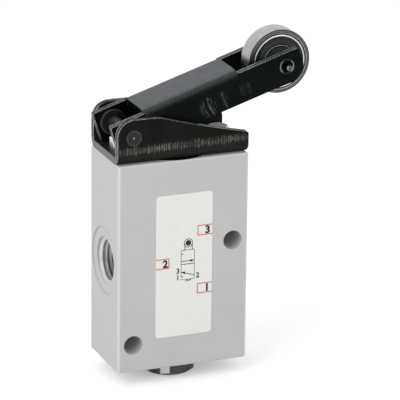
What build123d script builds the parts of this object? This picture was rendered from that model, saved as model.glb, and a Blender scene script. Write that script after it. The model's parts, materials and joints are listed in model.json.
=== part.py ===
"""Upright 3/2 poppet valve worked by a roller lever, in millimetres.

The origin is the centre of the bottom plug's lower face, on the valve's own axis.
+Z runs up that axis, +X points to the supply side and +Y to the back.
Heights on the body are measured from its lower face, unless a name says otherwise.
"""

import os
from math import cos, radians, sin, sqrt, tan

from build123d import *

# Body block
BODY_WIDTH = 38.2
BODY_DEPTH = 21.8
BODY_HEIGHT = 60.0
BODY_EDGE_RADIUS = 0.6
BODY_END_CHAMFER = 0.3
TOP_RECESS_DIAMETER = 20.9
TOP_RECESS_DEPTH = 0.6
MOUNT_HOLE_DIAMETER = 5.4
LOW_HOLE_FROM_LEFT = 4.5
LOW_HOLE_HEIGHT = 7.9
HIGH_HOLE_FROM_RIGHT = 4.5
HIGH_HOLE_HEIGHT = 35.2

# Threaded ports, G1/4, modelled at the thread's major diameter
PORT_DIAMETER = 13.157
PORT_THREAD_DEPTH = 10.2
PORT_MOUTH_CHAMFER = 0.1
SPOTFACE_DIAMETER = 19.0
SPOTFACE_DEPTH = 0.3
OUTLET_PORT_HEIGHT = 29.75
INLET_PORT_HEIGHT = 24.3
EXHAUST_PORT_BELOW_TOP = 14.0
PASSAGE_DIAMETER = 5.0
PASSAGE_BELOW_SEAT = 1.0

# Stepped bore, from the bottom up
INLET_CHAMBER_DIAMETER = 10.4
SEAT_HEIGHT = 25.9
SEAT_BORE_DIAMETER = 6.4
SEAT_LIP_WIDTH = 0.5
SEAT_LIP_DEPTH = 0.6
SEAT_WALL = 2.0
OUTLET_CHAMBER_DIAMETER = 9.2
OUTLET_CHAMBER_LENGTH = 6.0
LAND_LENGTH = 6.0
EXHAUST_CHAMBER_DIAMETER = 11.0
RUNNING_CLEARANCE = 0.05
SEAL_CLEARANCE = 0.02
GROOVE_SIDE_PLAY = 0.15

# Cutters run past a face, or into the next step of a bore, by these lengths
CUT_OVERRUN = 1.0
CUT_OVERLAP = 0.1

# Bottom plug
PLUG_HEX_FLATS = 14.0
PLUG_HEX_HEIGHT = 4.4
PLUG_HEX_TURN = 12.2
PLUG_FACE_DIAMETER = 13.0
PLUG_CHAMFER_ANGLE = 38.0
PLUG_THREAD_DIAMETER = 12.0
PLUG_THREAD_LENGTH = 12.0
PLUG_THREAD_RUNOUT = 1.0
PLUG_THREAD_CHAMFER = 0.5
PLUG_NECK_DIAMETER = 10.4
PLUG_NECK_RELIEF = 0.4
PLUG_POCKET_DIAMETER = 8.8
PLUG_POCKET_DEPTH = 2.5
PLUG_SEAL_DEPTH = 1.6
PLUG_SEAL_LEDGE = 0.9
PLUG_SEAL_WIRE = 1.5

# Poppet
POPPET_DIAMETER = 8.8
POPPET_RIM = 0.5
POPPET_FLOOR = 1.8
POPPET_RUBBER = 1.6
POPPET_RUBBER_PROUD = 0.3
TAIL_DIAMETER = 4.0
TAIL_LENGTH = 18.0
TAIL_CHAMFER = 0.5
TAIL_BORE_SPARE = 3.5
POPPET_SPRING_DIAMETER = 7.0
POPPET_SPRING_WIRE = 0.6
POPPET_SPRING_TURNS = 4.5

# Plunger
PLUNGER_DIAMETER = 6.0
PLUNGER_BORE = 2.4
NOSE_DIAMETER = 4.4
EXHAUST_GAP = 1.2
NOSE_SHOULDER_ABOVE_SEAT = 7.0
NOSE_SHOULDER_TAPER = 0.4
COLLAR_DIAMETER = 9.6
COLLAR_THICKNESS = 2.0
CROSS_HOLE_DIAMETER = 1.8
PLUNGER_RING_WIRE = 1.06
PLUNGER_RING_MARGIN = 0.5
PLUNGER_SPRING_DIAMETER = 8.0
PLUNGER_SPRING_WIRE = 0.8
PLUNGER_SPRING_TURNS = 3.0
LEVER_GAP = 0.06

# Guide bush
BUSH_DIAMETER = 14.0
BUSH_LENGTH = 9.5
BUSH_SLIP = 0.02
BUSH_OUTER_RING_WIRE = 1.0
BUSH_INNER_RING_WIRE = 1.1

# Bracket of bent sheet on top of the body
BRACKET_SHEET = 2.0
BRACKET_WIDTH = 21.0
BRACKET_FOLD_RADIUS = 0.8
BRACKET_CREST_HEIGHT = 12.7
BRACKET_CREST_LENGTH = 11.9
BRACKET_TOE_HEIGHT = 5.95
BRACKET_SLOPE_SAG = 0.32
BRACKET_HEEL_RADIUS = 4.7
BRACKET_CREST_RADIUS = 9.0
BRACKET_TOE_RADIUS = 0.8
PLUNGER_WEB_CLEARANCE = 0.6

# Bracket screws
SCREW_DIAMETER = 3.0
SCREW_HEAD_FLATS = 5.5
SCREW_HEAD_HEIGHT = 3.2
SCREW_HEAD_TURN = 30.0
SCREW_FACE_DIAMETER = 5.2
SCREW_CHAMFER_ANGLE = 30.0
SCREW_LENGTH = 8.0
SCREW_FROM_SIDE = 4.8
SCREW_SLIP = 0.04
SCREW_TIP_ROOM = 1.0

# Lever's pivot
PIVOT_FROM_LEFT = 4.6
PIVOT_ABOVE_BODY = 7.6
PIVOT_PIN_DIAMETER = 4.0
PIVOT_HEAD_DIAMETER = 4.45
PIVOT_HEAD_THICKNESS = 0.5
PIN_SLIP = 0.02
PIVOT_RING_DIAMETER = 7.2
PIVOT_RING_THICKNESS = 0.6
PIVOT_RING_GAP = 0.1
PUNCH_MARK_DIAMETER = 0.8
PUNCH_MARK_DEPTH = 0.3

# Lever arm of bent sheet
LEVER_REST_ANGLE = 17.6
LEVER_SHEET = 2.0
LEVER_WIDTH = 16.0
LEVER_CHEEK_HEIGHT = 8.6
LEVER_TAIL = 4.6
LEVER_CORNER_RADIUS = 0.5
LEVER_WEB_START = 5.5
LEVER_WEB_END = 34.1
LEVER_WEB_RISE = 5.1
LEVER_FOLD_RADIUS = 1.2
ROLLER_REACH = 48.05
ROLLER_OFFSET = 0.6
LEVER_NOSE_RADIUS = 5.0
LEVER_NOSE_RAKE = 0.3

# Roller bearing and its axle
ROLLER_DIAMETER = 18.1
ROLLER_WIDTH = 6.0
ROLLER_EDGE_CHAMFER = 0.35
OUTER_RING_BORE = 14.2
INNER_RING_DIAMETER = 9.2
AXLE_DIAMETER = 6.0
AXLE_SLIP = 0.02
AXLE_END_DIAMETER = 4.5
AXLE_END_PROUD = 0.15
AXLE_CUP_DIAMETER = 3.4
AXLE_CUP_DEPTH = 0.6
BALL_DIAMETER = 3.0
BALL_COUNT = 7
BALL_PLAY = 0.03
CAGE_THICKNESS = 1.0
CAGE_BACK = 0.7
CAGE_LIP = 0.6
CAGE_POCKET_PLAY = 0.06
BEARING_SEAL_THICKNESS = 0.35
BEARING_SEAL_INSET = 0.45
BEARING_SEAL_GAP = 0.1
SPACER_DIAMETER = 8.4
SPACER_PLAY = 0.03

# Label plate on the front face
LABEL_FROM_LEFT = 11.0
LABEL_WIDTH = 16.6
LABEL_BASE_HEIGHT = 9.05
LABEL_LENGTH = 41.3
LABEL_CORNER_RADIUS = 1.1
LABEL_THICKNESS = 0.15

# Heights above the origin
body_bottom = PLUG_HEX_HEIGHT
body_top = body_bottom + BODY_HEIGHT
seat_z = body_bottom + SEAT_HEIGHT
seat_roof_z = seat_z + SEAT_LIP_DEPTH + SEAT_WALL
land_z = seat_roof_z + OUTLET_CHAMBER_LENGTH
exhaust_floor_z = land_z + LAND_LENGTH
bush_z = body_top - BUSH_LENGTH
plug_top_z = body_bottom + PLUG_THREAD_LENGTH
plug_pocket_z = plug_top_z - PLUG_POCKET_DEPTH
outlet_port_z = body_bottom + OUTLET_PORT_HEIGHT
inlet_port_z = body_bottom + INLET_PORT_HEIGHT
exhaust_port_z = body_top - EXHAUST_PORT_BELOW_TOP
outlet_passage_z = seat_roof_z + OUTLET_CHAMBER_LENGTH / 2
inlet_passage_z = seat_z - PASSAGE_DIAMETER / 2 - PASSAGE_BELOW_SEAT
bracket_web_z = body_top + BRACKET_SHEET

# Places across the body
body_left = -BODY_WIDTH / 2
body_right = BODY_WIDTH / 2
body_front = -BODY_DEPTH / 2
pivot_x = body_left + PIVOT_FROM_LEFT
pivot_z = body_top + PIVOT_ABOVE_BODY
lever_inner_half = LEVER_WIDTH / 2 - LEVER_SHEET
ball_pitch_radius = (OUTER_RING_BORE + INNER_RING_DIAMETER) / 4

# Places along the plunger's axis, at rest
poppet_face_z = seat_z - SEAL_CLEARANCE
poppet_rim_z = poppet_face_z - POPPET_RUBBER_PROUD
poppet_pocket_z = poppet_face_z - POPPET_RUBBER
poppet_back_z = poppet_pocket_z - POPPET_FLOOR
plunger_tip_z = poppet_face_z + EXHAUST_GAP
nose_shoulder_z = seat_z + NOSE_SHOULDER_ABOVE_SEAT
collar_top_z = bush_z - SEAL_CLEARANCE
collar_z = collar_top_z - COLLAR_THICKNESS
cross_hole_z = exhaust_floor_z + CROSS_HOLE_DIAMETER


def lever_underside_height(distance):
    """Height of the lever web's underside over the pivot, at a distance along X from it."""
    rise = distance * tan(radians(LEVER_REST_ANGLE))
    return rise + (LEVER_WEB_RISE - LEVER_SHEET) / cos(radians(LEVER_REST_ANGLE))


plunger_radius = PLUNGER_DIAMETER / 2
dome_centre_z = (
    pivot_z
    + lever_underside_height(-pivot_x)
    - plunger_radius / cos(radians(LEVER_REST_ANGLE))
    - LEVER_GAP
)


def turned(points):
    """Solid turned about Z from a closed outline of (radius, height) points."""
    outline = make_face(Polyline(*points, close=True))
    return revolve(Plane.XZ * outline, Axis.Z)


def ring(wire, centre_radius, height):
    """O-ring round Z, of a wire diameter, at a height."""
    section = Plane.XZ * Pos(centre_radius, height) * Circle(wire / 2)
    return revolve(section, Axis.Z)


def tube(outer, inner, low, high):
    """Tube along Z between two heights, from two diameters."""
    wall = Cylinder(outer / 2, high - low) - Cylinder(inner / 2, high - low)
    return Pos(0, 0, (low + high) / 2) * wall


def rod_across(diameter, length):
    """Cylinder along Y, centred on the origin."""
    return Rot(90, 0, 0) * Cylinder(diameter / 2, length)


def on_lever(shape):
    """Carry a shape from the lever's own frame, along the arm from its pivot, to its rest place."""
    return Pos(pivot_x, 0, pivot_z) * Rot(0, -LEVER_REST_ANGLE, 0) * shape


def on_axle(shape):
    """Carry a shape centred on the origin to the roller's centre."""
    return on_lever(Pos(ROLLER_REACH, 0, ROLLER_OFFSET) * shape)


def hexagon_head(flats, height, turn, face_diameter, chamfer_angle):
    """Hexagon prism up from Z = 0, its lower corners turned off by a cone down to a round face."""
    corner = flats / sqrt(3)
    prism = extrude(RegularPolygon(corner, 6, rotation=turn), height)
    chamfer_height = (corner - face_diameter / 2) * tan(radians(chamfer_angle))
    envelope = turned([
        (0, 0),
        (face_diameter / 2, 0),
        (corner, chamfer_height),
        (corner, height),
        (0, height),
    ])
    return prism & envelope


def mount_hole(x, z):
    """Through hole for a fixing screw, along Y."""
    return Pos(x, 0, z) * rod_across(MOUNT_HOLE_DIAMETER, 2 * BODY_DEPTH)


def threaded_port(side, z, passage_z):
    """Cutter for a port on the left (side -1) or right (side 1) face, with its passage to the bore."""
    bore = Cylinder(PORT_DIAMETER / 2, PORT_THREAD_DEPTH, align=(Align.CENTER, Align.CENTER, Align.MAX))
    mouth = Cone(
        PORT_DIAMETER / 2,
        PORT_DIAMETER / 2 + PORT_MOUTH_CHAMFER,
        PORT_MOUTH_CHAMFER,
        align=(Align.CENTER, Align.CENTER, Align.MAX),
    )
    floor = Pos(0, 0, -SPOTFACE_DEPTH)
    spotface = Cylinder(SPOTFACE_DIAMETER / 2, SPOTFACE_DEPTH, align=(Align.CENTER, Align.CENTER, Align.MAX))
    cutter = Rot(0, 90 * side, 0) * (floor * bore + floor * mouth + spotface)
    passage = Rot(0, 90 * side, 0) * Cylinder(
        PASSAGE_DIAMETER / 2, BODY_WIDTH / 2 - SPOTFACE_DEPTH, align=(Align.CENTER, Align.CENTER, Align.MIN)
    )
    return Pos(side * BODY_WIDTH / 2, 0, z) * cutter + Pos(0, 0, passage_z) * passage


def stepped_bore():
    """Cutter for the valve's bore, from the plug's thread up to the bush and the recess round it."""
    seal_seat = PLUG_THREAD_DIAMETER / 2 + PLUG_SEAL_LEDGE
    steps = [
        (seal_seat, body_bottom - CUT_OVERRUN, body_bottom + PLUG_SEAL_DEPTH),
        (PLUG_THREAD_DIAMETER / 2, body_bottom, plug_top_z + PLUG_THREAD_RUNOUT),
        (INLET_CHAMBER_DIAMETER / 2, plug_top_z, seat_z + SEAT_LIP_DEPTH),
        (SEAT_BORE_DIAMETER / 2, seat_z, seat_roof_z + CUT_OVERLAP),
        (OUTLET_CHAMBER_DIAMETER / 2, seat_roof_z, land_z),
        (plunger_radius + RUNNING_CLEARANCE, land_z - CUT_OVERLAP, exhaust_floor_z + CUT_OVERLAP),
        (EXHAUST_CHAMBER_DIAMETER / 2, exhaust_floor_z, bush_z + CUT_OVERLAP),
        (BUSH_DIAMETER / 2, bush_z, body_top + CUT_OVERRUN),
        (TOP_RECESS_DIAMETER / 2, body_top - TOP_RECESS_DEPTH, body_top + CUT_OVERRUN),
    ]
    cutter = Part()
    for radius, low, high in steps:
        cutter += Pos(0, 0, (low + high) / 2) * Cylinder(radius, high - low)
    return cutter


def valve_body():
    """Machined block with the stepped bore, three ports, two mounting holes and two tapped holes."""
    block = Box(BODY_WIDTH, BODY_DEPTH, BODY_HEIGHT)
    block = fillet(block.edges().filter_by(Axis.Z), BODY_EDGE_RADIUS)
    block = chamfer(block.edges().group_by(Axis.Z)[0] + block.edges().group_by(Axis.Z)[-1], BODY_END_CHAMFER)
    block = Pos(0, 0, body_bottom + BODY_HEIGHT / 2) * block
    block -= stepped_bore()
    lip_diameter = SEAT_BORE_DIAMETER + 2 * SEAT_LIP_WIDTH
    block += tube(lip_diameter, SEAT_BORE_DIAMETER, seat_z, seat_z + SEAT_LIP_DEPTH)
    for side, port_z, passage_z in (
        (-1, outlet_port_z, outlet_passage_z),
        (1, inlet_port_z, inlet_passage_z),
        (1, exhaust_port_z, exhaust_port_z),
    ):
        block -= threaded_port(side, port_z, passage_z)
    block -= mount_hole(body_left + LOW_HOLE_FROM_LEFT, body_bottom + LOW_HOLE_HEIGHT)
    block -= mount_hole(body_right - HIGH_HOLE_FROM_RIGHT, body_bottom + HIGH_HOLE_HEIGHT)
    tapped_depth = SCREW_LENGTH - BRACKET_SHEET + SCREW_TIP_ROOM
    tapped_hole = Cylinder(SCREW_DIAMETER / 2 + SCREW_SLIP, tapped_depth)
    for x in (body_left + SCREW_FROM_SIDE, body_right - SCREW_FROM_SIDE):
        block -= Pos(x, 0, body_top - tapped_depth / 2) * tapped_hole
    return block


def bottom_plug():
    """Hexagon plug with a threaded spigot, a spring pocket and a bore for the poppet's tail."""
    head = hexagon_head(
        PLUG_HEX_FLATS, PLUG_HEX_HEIGHT, PLUG_HEX_TURN, PLUG_FACE_DIAMETER, PLUG_CHAMFER_ANGLE
    )
    neck_z = body_bottom + PLUG_SEAL_DEPTH + PLUG_NECK_RELIEF
    tail_floor_z = poppet_back_z - TAIL_LENGTH - TAIL_BORE_SPARE
    tail_bore = TAIL_DIAMETER / 2 + RUNNING_CLEARANCE
    thread = PLUG_THREAD_DIAMETER / 2 - RUNNING_CLEARANCE
    spigot = turned([
        (0, body_bottom),
        (PLUG_NECK_DIAMETER / 2, body_bottom),
        (PLUG_NECK_DIAMETER / 2, neck_z),
        (thread, neck_z + PLUG_NECK_RELIEF),
        (thread, plug_top_z - PLUG_THREAD_CHAMFER),
        (thread - PLUG_THREAD_CHAMFER, plug_top_z),
        (0, plug_top_z),
    ])
    bore = turned([
        (0, tail_floor_z),
        (tail_bore, tail_floor_z),
        (tail_bore, plug_pocket_z),
        (PLUG_POCKET_DIAMETER / 2, plug_pocket_z),
        (PLUG_POCKET_DIAMETER / 2, plug_top_z + CUT_OVERRUN),
        (0, plug_top_z + CUT_OVERRUN),
    ])
    return head + spigot - bore


def plug_seal():
    """O-ring between the plug's hexagon and the body."""
    radius = PLUG_NECK_DIAMETER / 2 + PLUG_SEAL_WIRE / 2 + SEAL_CLEARANCE
    return ring(PLUG_SEAL_WIRE, radius, body_bottom + PLUG_SEAL_DEPTH / 2)


def poppet():
    """Turned cup for the rubber disc, with a tail that the plug guides."""
    return turned([
        (0, poppet_pocket_z),
        (POPPET_DIAMETER / 2 - POPPET_RIM, poppet_pocket_z),
        (POPPET_DIAMETER / 2 - POPPET_RIM, poppet_rim_z),
        (POPPET_DIAMETER / 2, poppet_rim_z),
        (POPPET_DIAMETER / 2, poppet_back_z),
        (TAIL_DIAMETER / 2, poppet_back_z),
        (TAIL_DIAMETER / 2, poppet_back_z - TAIL_LENGTH + TAIL_CHAMFER),
        (TAIL_DIAMETER / 2 - TAIL_CHAMFER, poppet_back_z - TAIL_LENGTH),
        (0, poppet_back_z - TAIL_LENGTH),
    ])


def poppet_seal():
    """Rubber disc that closes the seat from below and the plunger's bore from above."""
    radius = POPPET_DIAMETER / 2 - POPPET_RIM - SEAL_CLEARANCE
    disc = Cylinder(radius, POPPET_RUBBER, align=(Align.CENTER, Align.CENTER, Align.MIN))
    return Pos(0, 0, poppet_pocket_z) * disc


def coil_spring(mean_diameter, wire, turns, low, high):
    """Compression spring round Z with ends ground flat at two heights."""
    length = high - low
    path = Pos(0, 0, low) * Helix(length / turns, length, mean_diameter / 2)
    section = Plane(origin=path @ 0, z_dir=path % 0) * Circle(wire / 2)
    coil = sweep(section, path, is_frenet=True)
    slab = Pos(0, 0, (low + high) / 2) * Box(2 * mean_diameter, 2 * mean_diameter, length)
    return coil & slab


def plunger():
    """Hollow plunger: nose, land, collar and domed end, drilled through to the exhaust chamber."""
    groove_radius = plunger_radius + RUNNING_CLEARANCE - PLUNGER_RING_WIRE - 2 * SEAL_CLEARANCE
    groove_z = plunger_ring_z()
    groove_half = PLUNGER_RING_WIRE / 2 + GROOVE_SIDE_PLAY
    stem = turned([
        (0, plunger_tip_z),
        (NOSE_DIAMETER / 2, plunger_tip_z),
        (NOSE_DIAMETER / 2, nose_shoulder_z),
        (plunger_radius, nose_shoulder_z + NOSE_SHOULDER_TAPER),
        (plunger_radius, groove_z - groove_half),
        (groove_radius, groove_z - groove_half),
        (groove_radius, groove_z + groove_half),
        (plunger_radius, groove_z + groove_half),
        (plunger_radius, collar_z),
        (COLLAR_DIAMETER / 2, collar_z),
        (COLLAR_DIAMETER / 2, collar_top_z),
        (plunger_radius, collar_top_z),
        (plunger_radius, dome_centre_z),
        (0, dome_centre_z),
    ])
    stem += Pos(0, 0, dome_centre_z) * Sphere(plunger_radius, arc_size1=0)
    bore_length = cross_hole_z - plunger_tip_z
    stem -= Pos(0, 0, plunger_tip_z + bore_length / 2) * Cylinder(PLUNGER_BORE / 2, bore_length)
    stem -= Pos(0, 0, cross_hole_z) * rod_across(CROSS_HOLE_DIAMETER, 2 * PLUNGER_DIAMETER)
    return stem


def plunger_ring_z():
    """Height of the plunger's ring: high in the land, so that it stays inside over the whole stroke."""
    return exhaust_floor_z - PLUNGER_RING_WIRE - PLUNGER_RING_MARGIN


def plunger_seal():
    """O-ring in the plunger's groove."""
    outer = plunger_radius + RUNNING_CLEARANCE - SEAL_CLEARANCE
    return ring(PLUNGER_RING_WIRE, outer - PLUNGER_RING_WIRE / 2, plunger_ring_z())


def guide_bush():
    """Bush that closes the bore at the top, grooved outside and inside for its two O-rings."""
    outer = BUSH_DIAMETER / 2 - BUSH_SLIP
    bore = plunger_radius + RUNNING_CLEARANCE
    outer_groove = outer - BUSH_OUTER_RING_WIRE + SEAL_CLEARANCE
    inner_groove = plunger_radius + 2 * SEAL_CLEARANCE + BUSH_INNER_RING_WIRE
    outer_half = BUSH_OUTER_RING_WIRE / 2 + GROOVE_SIDE_PLAY
    inner_half = BUSH_INNER_RING_WIRE / 2 + GROOVE_SIDE_PLAY
    return turned([
        (bore, bush_z),
        (outer, bush_z),
        (outer, bush_outer_ring_z() - outer_half),
        (outer_groove, bush_outer_ring_z() - outer_half),
        (outer_groove, bush_outer_ring_z() + outer_half),
        (outer, bush_outer_ring_z() + outer_half),
        (outer, body_top),
        (bore, body_top),
        (bore, bush_inner_ring_z() + inner_half),
        (inner_groove, bush_inner_ring_z() + inner_half),
        (inner_groove, bush_inner_ring_z() - inner_half),
        (bore, bush_inner_ring_z() - inner_half),
    ])


def bush_outer_ring_z():
    """Height of the ring round the bush, in its lower third."""
    return bush_z + BUSH_LENGTH / 3


def bush_inner_ring_z():
    """Height of the ring inside the bush, in its upper third."""
    return body_top - BUSH_LENGTH / 3


def bush_seal():
    """O-ring round the bush."""
    return ring(BUSH_OUTER_RING_WIRE, BUSH_DIAMETER / 2 - BUSH_OUTER_RING_WIRE / 2, bush_outer_ring_z())


def rod_seal():
    """O-ring between the bush and the plunger."""
    radius = plunger_radius + SEAL_CLEARANCE + BUSH_INNER_RING_WIRE / 2
    return ring(BUSH_INNER_RING_WIRE, radius, bush_inner_ring_z())


def bracket_cheek_outline():
    """Side view of the bracket: full heel over the pivot, flat crest and a slope that sags to the toe."""
    heel = (body_left, body_top)
    heel_top = (body_left, body_top + BRACKET_CREST_HEIGHT)
    crest_end = (body_left + BRACKET_CREST_LENGTH, body_top + BRACKET_CREST_HEIGHT)
    toe_top = (body_right, body_top + BRACKET_TOE_HEIGHT)
    toe = (body_right, body_top)
    edges = [
        Line(heel, heel_top),
        Line(heel_top, crest_end),
        SagittaArc(crest_end, toe_top, -BRACKET_SLOPE_SAG),
        Line(toe_top, toe),
        Line(toe, heel),
    ]
    outline = make_face(Curve() + edges)
    for corner, radius in (
        (heel_top, BRACKET_HEEL_RADIUS),
        (crest_end, BRACKET_CREST_RADIUS),
        (toe_top, BRACKET_TOE_RADIUS),
    ):
        vertex = outline.vertices().sort_by_distance(corner)[0]
        outline = fillet(vertex, radius)
    return outline


def bent_channel(width, height, sheet, inner_radius, length):
    """Channel of bent sheet along X from the origin, web down on Z = 0, cheeks up, centred on Y = 0."""
    outer = Pos(0, height / 2) * Rectangle(width, height)
    outer = fillet(outer.vertices().group_by(Axis.Y)[0], inner_radius + sheet)
    inner = Pos(0, sheet + height / 2) * Rectangle(width - 2 * sheet, height)
    inner = fillet(inner.vertices().group_by(Axis.Y)[0], inner_radius)
    return extrude(Plane.YZ * (outer - inner), length)


def bracket():
    """Bent U bracket: channel cut to the cheek outline, drilled for pin, plunger and screws."""
    channel = bent_channel(
        BRACKET_WIDTH, BRACKET_CREST_HEIGHT + CUT_OVERRUN, BRACKET_SHEET, BRACKET_FOLD_RADIUS, BODY_WIDTH
    )
    channel = Pos(body_left, 0, body_top) * channel
    outline = extrude(Plane.XZ * bracket_cheek_outline(), BRACKET_WIDTH, both=True)
    shape = channel & outline
    shape -= Pos(pivot_x, 0, pivot_z) * rod_across(PIVOT_PIN_DIAMETER + PIN_SLIP, 2 * BRACKET_WIDTH)
    for side in (-1, 1):
        head = rod_across(PIVOT_HEAD_DIAMETER + PIN_SLIP, 2 * PIVOT_HEAD_THICKNESS)
        shape -= Pos(pivot_x, side * BRACKET_WIDTH / 2, pivot_z) * head
    web_middle = body_top + BRACKET_SHEET / 2
    shape -= Pos(0, 0, web_middle) * Cylinder(plunger_radius + PLUNGER_WEB_CLEARANCE, 2 * BRACKET_SHEET)
    for x in (body_left + SCREW_FROM_SIDE, body_right - SCREW_FROM_SIDE):
        shape -= Pos(x, 0, web_middle) * Cylinder(SCREW_DIAMETER / 2 + SCREW_SLIP, 2 * BRACKET_SHEET)
    return shape


def bracket_screws():
    """Two hexagon screws through the bracket's web into the body, their round faces up."""
    head = hexagon_head(
        SCREW_HEAD_FLATS, SCREW_HEAD_HEIGHT, SCREW_HEAD_TURN, SCREW_FACE_DIAMETER, SCREW_CHAMFER_ANGLE
    )
    head = Pos(0, 0, SCREW_HEAD_HEIGHT) * Rot(180, 0, 0) * head
    shank = Cylinder(SCREW_DIAMETER / 2, SCREW_LENGTH, align=(Align.CENTER, Align.CENTER, Align.MAX))
    screw = head + shank
    places = (body_left + SCREW_FROM_SIDE, body_right - SCREW_FROM_SIDE)
    return Compound([Pos(x, 0, bracket_web_z) * screw for x in places])


def pivot_pin():
    """Pin with flush riveted heads, each with a punch mark."""
    pin = rod_across(PIVOT_PIN_DIAMETER, BRACKET_WIDTH)
    for side in (-1, 1):
        middle = side * (BRACKET_WIDTH / 2 - PIVOT_HEAD_THICKNESS / 2)
        pin += Pos(0, middle, 0) * rod_across(PIVOT_HEAD_DIAMETER, PIVOT_HEAD_THICKNESS)
        mark = Cone(PUNCH_MARK_DIAMETER / 2, 0, PUNCH_MARK_DEPTH)
        inward = Pos(0, side * (BRACKET_WIDTH / 2 - PUNCH_MARK_DEPTH / 2), 0) * Rot(90 * side, 0, 0)
        pin -= inward * mark
    return Pos(pivot_x, 0, pivot_z) * pin


def pivot_rings():
    """Two rings on the pin, just inside the lever's cheeks."""
    flat_ring = rod_across(PIVOT_RING_DIAMETER, PIVOT_RING_THICKNESS)
    flat_ring -= rod_across(PIVOT_PIN_DIAMETER + PIN_SLIP, 2 * PIVOT_RING_THICKNESS)
    offset = lever_inner_half - PIVOT_RING_GAP - PIVOT_RING_THICKNESS / 2
    return Compound([Pos(pivot_x, side * offset, pivot_z) * flat_ring for side in (-1, 1)])


def lever_cheek_outline():
    """Side view of a lever cheek: square tail, straight edges and a nose rounded under the roller."""
    half = LEVER_CHEEK_HEIGHT / 2
    nose_x = ROLLER_REACH + LEVER_NOSE_RADIUS
    nose_bottom = (ROLLER_REACH, ROLLER_OFFSET - LEVER_NOSE_RADIUS)
    nose_front = (nose_x, ROLLER_OFFSET)
    diagonal = LEVER_NOSE_RADIUS * sin(radians(45))
    nose_middle = (ROLLER_REACH + diagonal, ROLLER_OFFSET - diagonal)
    nose_top = (nose_x - LEVER_NOSE_RAKE, half)
    bottom_end = (ROLLER_REACH - LEVER_NOSE_RADIUS, -half)
    edges = [
        Line((-LEVER_TAIL, -half), bottom_end),
        Line(bottom_end, nose_bottom),
        ThreePointArc(nose_bottom, nose_middle, nose_front),
        Line(nose_front, nose_top),
        Line(nose_top, (-LEVER_TAIL, half)),
        Line((-LEVER_TAIL, half), (-LEVER_TAIL, -half)),
    ]
    outline = make_face(Curve() + edges)
    corners = ((-LEVER_TAIL, -half), (-LEVER_TAIL, half), nose_top)
    for corner in corners:
        vertex = outline.vertices().sort_by_distance(corner)[0]
        outline = fillet(vertex, LEVER_CORNER_RADIUS)
    return outline


def lever_arm():
    """Bent U lever: web over the middle stretch, bare cheeks at the pivot and at the fork."""
    half = LEVER_CHEEK_HEIGHT / 2
    channel_height = LEVER_WEB_RISE + half
    web_length = LEVER_WEB_END - LEVER_WEB_START
    channel = bent_channel(LEVER_WIDTH, channel_height, LEVER_SHEET, LEVER_FOLD_RADIUS, web_length)
    channel = Pos(LEVER_WEB_START, 0, LEVER_WEB_RISE) * Rot(180, 0, 0) * channel
    cheeks = extrude(Plane.XZ * lever_cheek_outline(), LEVER_WIDTH / 2, both=True)
    cheeks -= Box(4 * ROLLER_REACH, 2 * lever_inner_half, 4 * ROLLER_REACH)
    middle = LEVER_WEB_START + web_length / 2
    cheeks -= Pos(middle, 0, 0) * Box(web_length, 2 * LEVER_WIDTH, 4 * channel_height)
    arm = channel + cheeks
    arm -= rod_across(PIVOT_PIN_DIAMETER + 2 * RUNNING_CLEARANCE, 2 * LEVER_WIDTH)
    axle_hole = rod_across(AXLE_END_DIAMETER + 2 * AXLE_SLIP, 2 * LEVER_WIDTH)
    arm -= Pos(ROLLER_REACH, 0, ROLLER_OFFSET) * axle_hole
    return on_lever(arm)


def roller_axle():
    """Axle with shoulders against the fork and riveted, cupped ends."""
    axle = rod_across(AXLE_DIAMETER, 2 * lever_inner_half)
    end_length = LEVER_WIDTH + 2 * AXLE_END_PROUD
    axle += rod_across(AXLE_END_DIAMETER, end_length)
    for side in (-1, 1):
        axle -= Pos(0, side * end_length / 2, 0) * rod_across(AXLE_CUP_DIAMETER, 2 * AXLE_CUP_DEPTH)
    return on_axle(axle)


def axle_spacers():
    """Two tubes that hold the inner ring in the middle of the fork."""
    length = lever_inner_half - ROLLER_WIDTH / 2 - 2 * SPACER_PLAY
    spacer = rod_across(SPACER_DIAMETER, length) - rod_across(AXLE_DIAMETER + 2 * AXLE_SLIP, 2 * length)
    offset = (lever_inner_half + ROLLER_WIDTH / 2) / 2
    return Compound([on_axle(Pos(0, side * offset, 0) * spacer) for side in (-1, 1)])


def ball_track():
    """Torus that both rings are ground out to, for the balls to run in."""
    return Rot(90, 0, 0) * Torus(ball_pitch_radius, BALL_DIAMETER / 2 + BALL_PLAY)


def bearing_outer_ring():
    """Ground ring that is the roller's tyre."""
    tyre = rod_across(ROLLER_DIAMETER, ROLLER_WIDTH)
    tyre = chamfer(tyre.edges().filter_by(GeomType.CIRCLE), ROLLER_EDGE_CHAMFER)
    tyre -= rod_across(OUTER_RING_BORE, 2 * ROLLER_WIDTH)
    return on_axle(tyre - ball_track())


def bearing_inner_ring():
    """Ring fixed on the axle."""
    bore = rod_across(AXLE_DIAMETER + 2 * AXLE_SLIP, 2 * ROLLER_WIDTH)
    hub = rod_across(INNER_RING_DIAMETER, ROLLER_WIDTH) - bore
    return on_axle(hub - ball_track())


def ball_places():
    """Places of the balls round the bearing's axis."""
    return [Rot(0, 360 * index / BALL_COUNT, 0) * Pos(ball_pitch_radius, 0, 0) for index in range(BALL_COUNT)]


def bearing_balls():
    """The set of balls."""
    return Compound([on_axle(place * Sphere(BALL_DIAMETER / 2)) for place in ball_places()])


def bearing_cage():
    """Crown cage: a thin ring behind the balls, with lips that reach round them."""
    back = BALL_DIAMETER / 2 + CAGE_BACK
    width = back + CAGE_LIP
    outer = 2 * ball_pitch_radius + CAGE_THICKNESS
    crown = rod_across(outer, width) - rod_across(outer - 2 * CAGE_THICKNESS, 2 * width)
    crown = Pos(0, (back - CAGE_LIP) / 2, 0) * crown
    for place in ball_places():
        crown -= place * Sphere(BALL_DIAMETER / 2 + CAGE_POCKET_PLAY)
    return on_axle(crown)


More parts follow.
